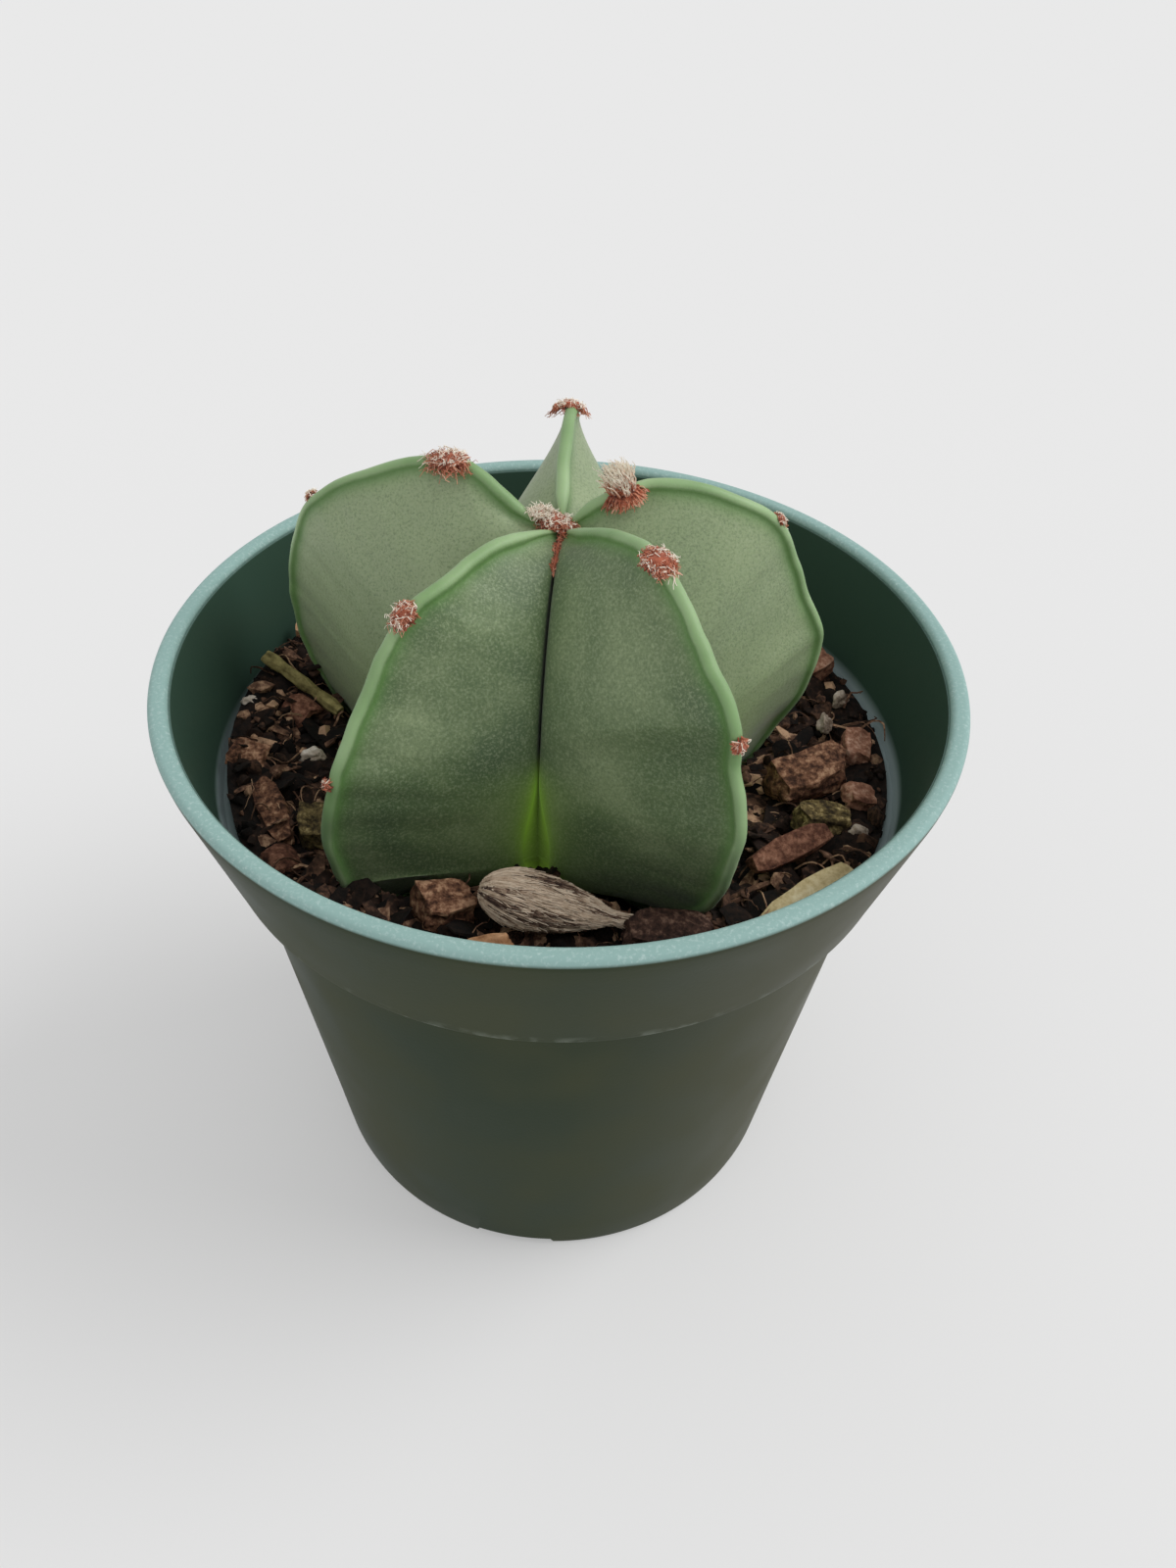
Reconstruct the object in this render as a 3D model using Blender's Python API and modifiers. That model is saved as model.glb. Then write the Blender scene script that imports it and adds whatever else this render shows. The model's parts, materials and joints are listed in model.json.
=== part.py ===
"""Potted bishop's cap cactus: the solids of the object, in metres, +Z up.

The pot stands on z = 0 with its axis on the Z axis, and -Y is the front.
A five-ribbed spineless cactus stands in bark-rich mix in a round plastic nursery pot.
Sizes in the tables are millimetres and angles are degrees.
"""
import math
import random
from dataclasses import dataclass

import bmesh
import bpy
import numpy as np
from mathutils import Euler, Matrix, Vector

MM = 0.001

# Clearances
GAP = 0.3
STEM_CLEARANCE = 0.45

# Pot
TURN_STEPS = 60
POT_HEIGHT = 88.0
RIM_RADIUS = 52.5
LIP_WIDTH = 2.5
LIP_ROUND = 0.7
COLLAR_FOOT_Z = 67.2
COLLAR_FOOT_RADIUS = 47.3
BODY_TOP_RADIUS = 44.7
FOOT_RADIUS = 36.8
WALL = 1.4
LEDGE_Z = 70.2
LEDGE_RADIUS = 46.6
FOOT_WIDTH = 4.0
FLOOR_UNDER_Z = 2.2
FLOOR_TOP_Z = 3.7
NOTCH_COUNT = 4
NOTCH_AZIMUTH = 263.0
NOTCH_WIDTH = 13.4
NOTCH_HEIGHT = 1.8
DRAIN_RADIUS = 3.2
DRAIN_CIRCLE = 21.0

# Stem
CROWN = (-0.5, -0.5)
CROWN_Z = 106.0
SOIL_Z = 69.6
ROOT_Z = 56.0
ROOT_RADIUS = 9.0
CREASE_RADIUS = 20.6
CREASE_POWER = 2.25
BEAD_RADIUS = 1.2
FLANK_ANGLE = 29.0
CREASE_ROUND = 2.8
CREASE_DEPTH = 2.4
STEM_LEVELS = 24
ROOT_LEVELS = 4
ROOT_ROOM = 1.6
FLANK_STEPS = 3

# Soil
SOIL_RIM_RADIUS = 45.2
SOIL_RIM_Z = 71.7
SOIL_FLAT_RADIUS = 36.5
CHIP_LIMIT = 42.3
SOIL_HEAP = 3.0
SOIL_HEAP_AZIMUTH = 160.0
SOIL_ROUGHNESS = 0.8
CHIP_COUNT = 64
CHIP_SEED = 11


@dataclass(frozen=True)
class Rib:
    """One rib: its azimuth and its ridge as (radius, height) from the crown to the soil."""

    azimuth: float
    ridge: tuple
    sway: float
    waves: float


RIBS = (
    Rib(10.0, ((4, 110.0), (12, 112.3), (20, 110.6), (28, 105.6), (33, 95), (36, 88),
               (34.6, 79), (30.5, 69.6)), 0.5, 2.2),
    Rib(90.0, ((4, 109.0), (12, 112.0), (20.5, 112.6), (28, 108.0), (34, 101), (38, 90),
               (37.5, 80), (33.5, 69.6)), 0.45, 1.7),
    Rib(160.5, ((4, 107.4), (12, 112.3), (20, 111.2), (31, 106.0), (36.5, 101), (40.6, 90),
                (40.4, 80), (35.5, 69.6)), 0.5, 1.9),
    Rib(227.0, ((4, 107.6), (11, 108.9), (19, 107.6), (24.2, 105.6), (30.5, 98), (37, 88.8),
                (39.0, 79), (37.6, 69.6)), 0.4, 2.6),
    Rib(303.5, ((5, 109.0), (12, 112.2), (20, 113.0), (29, 108.7), (36.6, 102), (37.2, 95.6),
                (39.8, 88), (38.6, 77), (34.8, 69.6)), 0.4, 2.4),
)


@dataclass(frozen=True)
class Tuft:
    """Wool on one areole: the rib it sits on, where on its ridge, and how large it is."""

    name: str
    rib: int
    near: tuple
    size: tuple
    lift: float
    detail: int
    strand: float


TUFTS = (
    Tuft("wool_right_back", 0, (7.6, 111.6), (4.2, 4.0, 5.4), 1.3, 2, 0.9),
    Tuft("wool_back", 1, (20.5, 112.6), (4.0, 4.4, 3.0), 0.6, 2, 0.6),
    Tuft("wool_left_back", 2, (14.6, 112.3), (4.6, 4.2, 3.4), 0.6, 2, 0.8),
    Tuft("wool_left_front", 3, (24.3, 105.2), (3.4, 3.6, 3.0), 0.5, 2, 0.6),
    Tuft("wool_right_front", 4, (20.0, 113.0), (4.4, 4.2, 3.4), 0.6, 2, 0.8),
    Tuft("wool_small_right_back", 0, (27.4, 106.2), (2.0, 1.8, 1.5), 0.25, 1, 0.3),
    Tuft("wool_small_left_back", 2, (35.3, 103.0), (1.7, 1.6, 1.4), 0.25, 1, 0.3),
    Tuft("wool_small_left_front", 3, (37.4, 88.0), (1.6, 1.6, 1.2), 0.2, 1, 0.25),
    Tuft("wool_small_right_front", 4, (37.1, 99.5), (2.0, 2.2, 1.3), 0.2, 1, 0.3),
)
CROWN_TUFT_SIZE = (6.4, 4.4, 3.0)
CROWN_TUFT_PLACE = (-1.6, 0.2, 107.6)

# Withered flower on the soil
BLOOM_PLACE = (-0.3, -32.0, 73.9)
BLOOM_LENGTH = 16.6
BLOOM_RADIUS = 4.0
BLOOM_TURN = (0.0, 9.0, -5.0)


@dataclass(frozen=True)
class Loose:
    """A loose piece of the mix: shape, centre, size, turn, colour as sRGB hex."""

    name: str
    kind: str
    place: tuple
    size: tuple
    turn: tuple
    colour: str


LOOSE = (
    Loose("bark_chunk_front", "chunk", (-13.0, -31.0, 71.6), (6.2, 5.0, 5.0), (12, 8, 25), "7a4a26"),
    Loose("bark_crumb_front", "chunk", (-6.6, -38.4, 71.4), (5.2, 3.8, 4.0), (5, -8, 10), "a58a66"),
    Loose("fibre_front", "sliver", (14.2, -34.2, 71.8), (10.0, 5.0, 3.0), (8, 6, 8), "3a2a22"),
    Loose("straw_sliver", "sliver", (31.4, -27.4, 72.4), (14.0, 3.2, 1.2), (14, -4, 39), "cdb98a"),
    Loose("bark_plank_right", "sliver", (30.0, -20.0, 73.0), (11.5, 3.4, 1.2), (28, -6, 30), "7b5442"),
    Loose("bark_block_right", "chunk", (33.6, -5.6, 73.0), (10.5, 6.0, 4.2), (10, -4, 28), "5b4236"),
    Loose("moss_chip_right", "chunk", (35.0, -13.6, 72.0), (6.4, 4.8, 3.4), (-6, 10, 5), "6d6640"),
    Loose("bark_chip_right", "chunk", (40.5, -8.9, 72.4), (4.0, 3.6, 1.8), (8, 22, 12), "a0705a"),
    Loose("bark_pink_right", "chunk", (41.2, 1.2, 72.3), (3.6, 5.0, 2.6), (4, 12, -8), "a97c68"),
    Loose("bark_pink_back", "chunk", (37.0, 19.0, 73.0), (5.0, 4.2, 3.6), (10, -8, 40), "a87a64"),
    Loose("bark_slab_left", "sliver", (-35.4, 19.6, 75.2), (10.5, 4.0, 1.8), (10, -4, -8), "b58860"),
    Loose("bark_curl_left", "curl", (-41.6, -5.2, 73.2), (8.0, 5.0, 0.8), (0, 20, 80), "6e4736"),
    Loose("bark_curl_mid", "curl", (-37.0, 3.2, 73.4), (6.0, 4.0, 0.8), (10, -12, 50), "7c5440"),
    Loose("bark_strip_left", "sliver", (-36.6, -16.6, 72.4), (11.0, 3.4, 1.6), (12, 4, -62), "5a4032"),
    Loose("bark_curl_low", "curl", (-33.6, -25.0, 72.2), (5.4, 4.2, 0.9), (0, 10, 30), "824e3c"),
    Loose("moss_chunk_left", "chunk", (-30.4, -18.8, 71.8), (4.8, 5.4, 4.0), (8, 4, 15), "6a6a3c"),
    Loose("bark_back_right", "chunk", (20.5, 35.6, 72.2), (7.6, 4.8, 3.2), (6, 8, -30), "6b4a38"),
    Loose("bark_back_mid", "sliver", (3.0, 39.6, 72.4), (12.0, 3.6, 1.8), (10, 4, 6), "84604a"),
    Loose("bark_back_left", "chunk", (-16.5, 36.0, 72.4), (8.0, 5.2, 3.6), (-8, 6, 30), "5e4334"),
    Loose("perlite_left", "grain", (-33.6, -5.4, 72.0), (3.0, 2.6, 2.4), (0, 0, 20), "b9b0a8"),
    Loose("perlite_left_back", "grain", (-43.6, 3.6, 73.4), (2.8, 2.6, 2.4), (0, 20, 0), "c9b8a4"),
    Loose("perlite_right", "grain", (37.6, 6.4, 72.2), (2.4, 2.6, 2.2), (10, 0, 0), "d3b79a"),
    Loose("perlite_right_back", "grain", (40.4, 11.6, 72.4), (2.6, 2.4, 2.2), (0, 0, 50), "cdb49c"),
    Loose("perlite_right_front", "grain", (39.6, -16.0, 72.0), (2.8, 2.4, 2.2), (0, 30, 0), "a9a28e"),
    Loose("perlite_back", "grain", (29.4, 29.0, 72.2), (2.8, 2.6, 2.2), (0, 10, 0), "cfc6bb"),
)

TWIG_ROUTE = ((-43.0, 10.4, 77.0), (-39.6, 8.9, 75.6), (-35.8, 6.9, 73.9), (-31.6, 4.2, 72.4))
TWIG_RADIUS = 0.95
TWIG_POINTS = 9


# ---------------------------------------------------------------- scene helpers

def clear_scene():
    """Remove every object, so that the script can run again in the same file."""
    for obj in list(bpy.data.objects):
        bpy.data.objects.remove(obj, do_unlink=True)


def new_collection(name):
    """Make a collection under the scene's own."""
    collection = bpy.data.collections.new(name)
    bpy.context.scene.collection.children.link(collection)
    return collection


def linear(hex_colour):
    """Turn an sRGB hex colour into linear RGBA."""
    values = []
    for start in (0, 2, 4):
        channel = int(hex_colour[start:start + 2], 16) / 255.0
        values.append(channel / 12.92 if channel <= 0.04045 else ((channel + 0.055) / 1.055) ** 2.4)
    return (*values, 1.0)


def finish(name, hex_colour, roughness):
    """Make a Principled material."""
    material = bpy.data.materials.new(name)
    material.use_nodes = True
    shader = material.node_tree.nodes["Principled BSDF"]
    shader.inputs["Base Color"].default_value = linear(hex_colour)
    shader.inputs["Roughness"].default_value = roughness
    shader.inputs["Metallic"].default_value = 0.0
    return material


def add_object(name, mesh, collection, material=None):
    """Link a mesh as a named object."""
    obj = bpy.data.objects.new(name, mesh)
    collection.objects.link(obj)
    if material is not None:
        mesh.materials.clear()
        mesh.materials.append(material)
    return obj


def bake(obj):
    """Apply every modifier of an object by taking its evaluated mesh."""
    bpy.context.view_layer.update()
    graph = bpy.context.evaluated_depsgraph_get()
    mesh = bpy.data.meshes.new_from_object(obj.evaluated_get(graph))
    obj.modifiers.clear()
    obj.data = mesh
    return obj


def mark_cutter(obj):
    """Show an object as a wire, and keep it out of the model."""
    obj.display_type = "WIRE"
    obj.hide_render = True
    return obj


def boolean_with(obj, collection, operation):
    """Cut or join an object with everything in a collection, then apply it."""
    modifier = obj.modifiers.new(operation.title(), "BOOLEAN")
    modifier.operand_type = "COLLECTION"
    modifier.collection = collection
    modifier.operation = operation
    modifier.solver = "EXACT"
    return bake(obj)


def triangulate(obj):
    """Split an object's faces into flat triangles, which a Boolean cuts cleanly."""
    mesh = bmesh.new()
    mesh.from_mesh(obj.data)
    bmesh.ops.triangulate(mesh, faces=mesh.faces)
    mesh.to_mesh(obj.data)
    mesh.free()
    return obj


def shade(obj, angle=35.0):
    """Shade an object smooth, with sharp edges above an angle."""
    obj.data.shade_smooth()
    obj.data.set_sharp_from_angle(angle=math.radians(angle))


def keep_largest(obj):
    """Drop the loose scraps that a cut left, and keep the largest body."""
    mesh = bmesh.new()
    mesh.from_mesh(obj.data)
    unseen = set(mesh.verts)
    bodies = []
    while unseen:
        stack = [unseen.pop()]
        body = list(stack)
        while stack:
            for edge in stack.pop().link_edges:
                for vert in edge.verts:
                    if vert in unseen:
                        unseen.remove(vert)
                        stack.append(vert)
                        body.append(vert)
        bodies.append(body)
    bodies.sort(key=len)
    for body in bodies[:-1]:
        bmesh.ops.delete(mesh, geom=body, context="VERTS")
    mesh.to_mesh(obj.data)
    mesh.free()
    return obj


def tidy_mesh(obj, distance=0.004):
    """Merge points closer than a distance in mm, and drop faces with no area."""
    mesh = bmesh.new()
    mesh.from_mesh(obj.data)
    bmesh.ops.remove_doubles(mesh, verts=mesh.verts, dist=distance * MM)
    bmesh.ops.dissolve_degenerate(mesh, dist=0.5 * distance * MM, edges=mesh.edges)
    bmesh.ops.triangulate(mesh, faces=mesh.faces)
    mesh.to_mesh(obj.data)
    mesh.free()
    return obj


# ---------------------------------------------------------------- curves in numpy

def smooth_path(points, count):
    """Points at even steps along a Catmull-Rom curve through the given points."""
    knots = np.array(points, dtype=float)
    padded = np.vstack([2 * knots[0] - knots[1], knots, 2 * knots[-1] - knots[-2]])
    fine = []
    steps = np.linspace(0.0, 1.0, 24, endpoint=False)[:, None]
    for a, b, c, d in zip(padded[:-3], padded[1:-2], padded[2:-1], padded[3:]):
        fine.append(0.5 * (2 * b + (c - a) * steps + (2 * a - 5 * b + 4 * c - d) * steps ** 2
                           + (3 * b - a - 3 * c + d) * steps ** 3))
    curve = np.vstack(fine + [knots[-1:]])
    length = np.concatenate([[0.0], np.cumsum(np.linalg.norm(np.diff(curve, axis=0), axis=1))])
    wanted = np.linspace(0.0, length[-1], count)
    return np.column_stack([np.interp(wanted, length, curve[:, k]) for k in range(curve.shape[1])])


def outward_normals(path):
    """Unit normals of a (radius, height) path that runs from the top outwards and down."""
    tangent = np.gradient(path, axis=0)
    normal = np.column_stack([-tangent[:, 1], tangent[:, 0]])
    return normal / np.linalg.norm(normal, axis=1)[:, None]


def ease(value):
    """Smooth step from 0 to 1."""
    value = np.clip(value, 0.0, 1.0)
    return value * value * (3.0 - 2.0 * value)


# ---------------------------------------------------------------- pot

def body_radius(height):
    """Outer radius of the pot's tapered body at a height."""
    return FOOT_RADIUS + (BODY_TOP_RADIUS - FOOT_RADIUS) * height / COLLAR_FOOT_Z


def arc(centre, radius, start, end, count):
    """Points on a circular arc in the (radius, height) plane."""
    angles = np.radians(np.linspace(start, end, count))
    return [(centre[0] + radius * math.cos(a), centre[1] + radius * math.sin(a)) for a in angles]


def turned(name, profile, collection, material):
    """Turn a profile of (radius, height) in mm about the Z axis."""
    mesh = bpy.data.meshes.new(name)
    verts = [(radius * MM, 0.0, height * MM) for radius, height in profile]
    mesh.from_pydata(verts, [(i, i + 1) for i in range(len(verts) - 1)], [])
    obj = add_object(name, mesh, collection, material)
    screw = obj.modifiers.new("Turn", "SCREW")
    screw.axis = "Z"
    screw.angle = math.tau
    screw.steps = TURN_STEPS
    screw.render_steps = TURN_STEPS
    screw.use_merge_vertices = True
    screw.merge_threshold = 0.02 * MM
    return obj


def pot_profile():
    """The pot's wall: floor, inner wall, ledge, lip, collar, body, foot ring, underside."""
    inner_rim = RIM_RADIUS - LIP_WIDTH
    inside = [(0.0, FLOOR_TOP_Z),
              (body_radius(FLOOR_TOP_Z) - WALL, FLOOR_TOP_Z),
              (body_radius(LEDGE_Z) - WALL, LEDGE_Z),
              (LEDGE_RADIUS, LEDGE_Z)]
    lip = arc((inner_rim + LIP_ROUND, POT_HEIGHT - LIP_ROUND), LIP_ROUND, 180, 90, 3)
    lip += arc((RIM_RADIUS - LIP_ROUND, POT_HEIGHT - LIP_ROUND), LIP_ROUND, 90, 0, 3)
    outside = [(COLLAR_FOOT_RADIUS, COLLAR_FOOT_Z + 0.4),
               (COLLAR_FOOT_RADIUS - 0.4, COLLAR_FOOT_Z),
               (BODY_TOP_RADIUS, COLLAR_FOOT_Z),
               (body_radius(1.0), 1.0),
               (FOOT_RADIUS - 0.6, 0.0),
               (FOOT_RADIUS - FOOT_WIDTH, 0.0),
               (FOOT_RADIUS - FOOT_WIDTH - 0.5, FLOOR_UNDER_Z),
               (0.0, FLOOR_UNDER_Z)]
    return inside + lip + outside


def make_pot(parts, cutters):
    """The nursery pot, with shallow notches in its foot and drainage holes in its floor."""
    pot = turned("pot", pot_profile(), parts, finish("pot_plastic", "35453b", 0.42))
    bake(pot)
    for index in range(NOTCH_COUNT):
        azimuth = math.radians(NOTCH_AZIMUTH + index * 360.0 / NOTCH_COUNT)
        bpy.ops.mesh.primitive_cube_add(size=1.0)
        notch = bpy.context.active_object
        notch.name = f"cut_notch_{index}"
        depth = FOOT_WIDTH * 4.0
        for vert in notch.data.vertices:
            narrowing = 1.0 if vert.co.z < 0 else 0.84
            vert.co = Vector((vert.co.x * depth, vert.co.y * NOTCH_WIDTH * narrowing,
                              vert.co.z * 2.0 * NOTCH_HEIGHT)) * MM
        notch.matrix_world = (Matrix.Rotation(azimuth, 4, "Z")
                              @ Matrix.Translation((FOOT_RADIUS * MM, 0.0, 0.0)))
        move_to(notch, cutters)
    for index in range(NOTCH_COUNT + 1):
        azimuth = math.radians(NOTCH_AZIMUTH + index * 360.0 / NOTCH_COUNT)
        circle = 0.0 if index == NOTCH_COUNT else DRAIN_CIRCLE * MM
        bpy.ops.mesh.primitive_cylinder_add(vertices=16, radius=DRAIN_RADIUS * MM, depth=8 * MM)
        drain = bpy.context.active_object
        drain.name = f"cut_drain_{index}"
        drain.location = (circle * math.cos(azimuth), circle * math.sin(azimuth), FLOOR_TOP_Z * MM)
        move_to(drain, cutters)
    boolean_with(pot, cutters, "DIFFERENCE")
    tidy_mesh(pot)
    shade(pot)
    empty_collection(cutters)
    return pot


def move_to(obj, collection):
    """Put a cutter in its collection, and out of the others."""
    for other in list(obj.users_collection):
        other.objects.unlink(obj)
    collection.objects.link(obj)
    mark_cutter(obj)


def empty_collection(collection):
    """Remove the objects of a collection once they have done their work."""
    for obj in list(collection.objects):
        bpy.data.objects.remove(obj, do_unlink=True)


# ---------------------------------------------------------------- stem

def root_path(foot, levels, room):
    """From a foot at the soil down to the root's end, with more room round it for its hole."""
    return smooth_path((foot, (foot[0] * 0.86 + room, SOIL_Z - 5.5),
                        (foot[0] * 0.52 + 2.2 * room, ROOT_Z + 2.0 - 0.5 * room),
                        (ROOT_RADIUS + 2.0 * room, ROOT_Z - room)), levels + 1)[1:]


def ridge_path(rib, levels, roots, room=0.0):
    """The ridge as (radius, height): even steps to the soil, then down to the root."""
    above = smooth_path(((0.0, CROWN_Z),) + rib.ridge, levels)
    return np.vstack([above, root_path(above[-1], roots, room)])


def crease_path(levels, roots, room=0.0):
    """The bottom of the crease between two ribs: a superellipse to the soil, then the root."""
    angles = np.linspace(0.0, 0.5 * math.pi, 40)
    across = CREASE_RADIUS * np.sin(angles) ** (2.0 / CREASE_POWER)
    rise = SOIL_Z + (CROWN_Z - 0.4 - SOIL_Z) * np.cos(angles) ** (2.0 / CREASE_POWER)
    above = smooth_path(np.column_stack([across, rise]), levels)
    return np.vstack([above, root_path(above[-1], roots, room)])


def in_plane(azimuth, path):
    """Place (radius, height) values in the upright plane of an azimuth, as directions."""
    return np.column_stack([path[:, 0] * math.cos(azimuth), path[:, 0] * math.sin(azimuth),
                            path[:, 1]])


def bezier(a, b, c, d, count):
    """Inner points of cubic curves from a to d, one array of points for each step."""
    for step in np.arange(1, count + 1) / (count + 1.0):
        rest = 1.0 - step
        yield rest ** 3 * a + 3 * rest ** 2 * step * b + 3 * rest * step ** 2 * c + step ** 3 * d


def stem_columns(grow, levels, roots, flank_steps):
    """Columns of the stem's surface, counter-clockwise, each an array of points by level.

    Each rib is a rounded bead on its ridge, with a flank on each side that leaves the bead at
    FLANK_ANGLE, swells, and turns into the crease along the plane that parts two ribs.
    With grow above zero the surface lies that far outside the stem, without its tight creases.
    """
    centre = np.array([CROWN[0], CROWN[1], 0.0])
    room = ROOT_ROOM if grow else 0.0
    crease = crease_path(levels, roots, room)
    crease_normal = outward_normals(crease)
    progress = np.concatenate([np.linspace(0, 1, levels), np.linspace(1, 0, roots + 1)[1:]])
    opening = 0.22 + 0.8 * ease((progress - 0.72) / 0.28)
    columns = []
    for index, rib in enumerate(RIBS):
        azimuth = math.radians(rib.azimuth)
        before = RIBS[index - 1].azimuth - (360.0 if index == 0 else 0.0)
        after = RIBS[(index + 1) % len(RIBS)].azimuth + (360.0 if index == len(RIBS) - 1 else 0.0)
        creases = {-1: math.radians((rib.azimuth + before) / 2),
                   1: math.radians((rib.azimuth + after) / 2)}
        path = ridge_path(rib, levels, roots, room)
        normal = in_plane(azimuth, outward_normals(path))
        sideways = np.array([-math.sin(azimuth), math.cos(azimuth), 0.0])
        sway = rib.sway * np.sin(math.tau * rib.waves * progress + index) * ease(progress * 4)
        ridge = centre + in_plane(azimuth, path) + sway[:, None] * sideways + normal * grow
        reach = np.linalg.norm(path - crease, axis=1)
        bead = np.minimum(BEAD_RADIUS, 0.22 * reach + 0.05)[:, None] + grow
        spoke = {}
        for side in (-1, 1):
            wall = creases[side]
            across = np.array([-math.sin(wall), math.cos(wall), 0.0])
            outward = in_plane(wall, crease_normal)
            deep = centre + in_plane(wall, crease)
            tight = np.minimum(CREASE_DEPTH, 0.3 * crease[:, 0])[:, None]
            if grow:
                mouth = deep + outward * (grow + 1.3)
            else:
                mouth = deep - side * across * np.minimum(opening, 0.05 * crease[:, 0])[:, None]
            shoulder = ridge - normal * bead * 1.35 + side * sideways * bead * 1.06
            handle = 0.34 * reach[:, None]
            lean = math.radians(FLANK_ANGLE)
            leaving = side * sideways * math.sin(lean) - normal * math.cos(lean)
            first = shoulder + leaving * handle
            last = mouth + outward * np.minimum(CREASE_ROUND, 0.22 * reach)[:, None]
            flank = list(bezier(shoulder, first, last, mouth, flank_steps))
            half = [ridge - normal * bead * 0.3 + side * sideways * bead * 0.72,
                    ridge - normal * bead * 0.9 + side * sideways * bead]
            spoke[side] = (half + [shoulder] + flank + [mouth], deep - outward * tight)
        columns += list(reversed(spoke[-1][0])) + [ridge] + spoke[1][0]
        if grow:
            columns.pop()
        else:
            columns.append(spoke[1][1])
    return columns


def loft(name, columns, top, bottom, collection, material=None):
    """Skin columns of points that go round an axis, closed by a point above and one below."""
    grid = np.stack(columns, axis=1)[1:] * MM
    levels, around = grid.shape[:2]
    ends = np.array([top, bottom]) * MM
    verts = np.vstack([grid.reshape(-1, 3), ends]).tolist()
    crown, root = levels * around, levels * around + 1
    faces = []
    for side in range(around):
        following = (side + 1) % around
        faces.append((crown, side, following))
        faces.append((root, (levels - 1) * around + following, (levels - 1) * around + side))
        for level in range(levels - 1):
            upper, lower = level * around, (level + 1) * around
            faces.append((upper + side, lower + side, lower + following, upper + following))
    mesh = bpy.data.meshes.new(name)
    mesh.from_pydata(verts, [], faces)
    mesh.update()
    return triangulate(add_object(name, mesh, collection, material))


def make_stem(parts):
    """The plant body: one solid with five ribs and a short tapered base in the soil."""
    columns = stem_columns(0.0, STEM_LEVELS, ROOT_LEVELS, FLANK_STEPS)
    top = (*CROWN, CROWN_Z)
    bottom = (*CROWN, ROOT_Z)
    stem = loft("cactus_stem", columns, top, bottom, parts, finish("cactus_skin", "6d7d58", 0.5))
    shade(stem, 60.0)
    return stem


def make_stem_cutter(collection):
    """The space round the stem that other pieces keep out of."""
    columns = stem_columns(STEM_CLEARANCE, STEM_LEVELS, ROOT_LEVELS, FLANK_STEPS)
    top = (*CROWN, CROWN_Z + STEM_CLEARANCE)
    bottom = (*CROWN, ROOT_Z - STEM_CLEARANCE - ROOT_ROOM)
    return mark_cutter(loft("cut_stem", columns, top, bottom, collection))


def ridge_spot(tuft):
    """The point of a rib's ridge nearest to a tuft's place, with its outward and tangent."""
    rib = RIBS[tuft.rib]
    azimuth = math.radians(rib.azimuth)
    path = ridge_path(rib, 120, 2)
    nearest = int(np.argmin(np.linalg.norm(path - np.array(tuft.near), axis=1)))
    normal = in_plane(azimuth, outward_normals(path))[nearest]
    tangent = in_plane(azimuth, np.gradient(path, axis=0))[nearest]
    place = in_plane(azimuth, path)[nearest] + np.array([CROWN[0], CROWN[1], 0.0])
    return Vector(place), Vector(normal), Vector(tangent).normalized()


# ---------------------------------------------------------------- wool

def wool_mesh(name, size, detail, strand, seed):
    """A dome of short coarse strands: an icosphere with every face raised to a point."""
    draw = random.Random(seed)
    mesh = bmesh.new()
    bmesh.ops.create_icosphere(mesh, subdivisions=detail, radius=0.5)
    poked = bmesh.ops.poke(mesh, faces=mesh.faces, offset=0.0)
    for vert in poked["verts"]:
        reach = 1.0 + strand / min(size) * draw.uniform(0.5, 1.25)
        drift = Vector((draw.uniform(-1, 1), draw.uniform(-1, 1), draw.uniform(-1, 1))) * 0.05
        vert.co = vert.co * reach + drift
    for vert in mesh.verts:
        vert.co = Vector((vert.co.x * size[0], vert.co.y * size[1], vert.co.z * size[2])) * MM
    data = bpy.data.meshes.new(name)
    mesh.to_mesh(data)
    mesh.free()
    return data


def make_tufts(parts, cutters):
    """Wool on every areole, cut clear of the ridge that it straddles."""
    wool = finish("areole_wool", "b98a78", 0.95)
    placed = []
    for order, tuft in enumerate(TUFTS):
        place, normal, tangent = ridge_spot(tuft)
        across = normal.cross(tangent)
        turn = Matrix((tangent, across, normal)).transposed().to_4x4()
        mesh = wool_mesh(tuft.name, tuft.size, tuft.detail, tuft.strand, 40 + order)
        mesh.transform(Matrix.Translation((place + normal * tuft.lift) * MM) @ turn)
        placed.append(add_object(tuft.name, mesh, parts, wool))
    mesh = wool_mesh("wool_crown", CROWN_TUFT_SIZE, 2, 0.8, 71)
    mesh.transform(Matrix.Translation(Vector(CROWN_TUFT_PLACE) * MM))
    placed.append(add_object("wool_crown", mesh, parts, wool))
    for obj in placed:
        boolean_with(obj, cutters, "DIFFERENCE")
        keep_largest(tidy_mesh(obj))
    return placed


# ---------------------------------------------------------------- loose pieces

def seed_of(name):
    """A number that depends only on a piece's name."""
    return sum((index + 1) * ord(letter) for index, letter in enumerate(name))


def chunk_mesh(piece):
    """Broken bark: a box cut in two each way, its points pushed about."""
    draw = random.Random(seed_of(piece.name))
    mesh = bmesh.new()
    bmesh.ops.create_cube(mesh, size=1.0)
    bmesh.ops.subdivide_edges(mesh, edges=mesh.edges, cuts=1, use_grid_fill=True)
    for vert in mesh.verts:
        corner = abs(vert.co.x) + abs(vert.co.y) + abs(vert.co.z)
        pull = 1.0 - 0.16 * max(0.0, corner - 0.9)
        push = Vector((draw.uniform(-1, 1), draw.uniform(-1, 1), draw.uniform(-1, 1))) * 0.09
        vert.co = vert.co * pull + push
    return mesh


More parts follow.
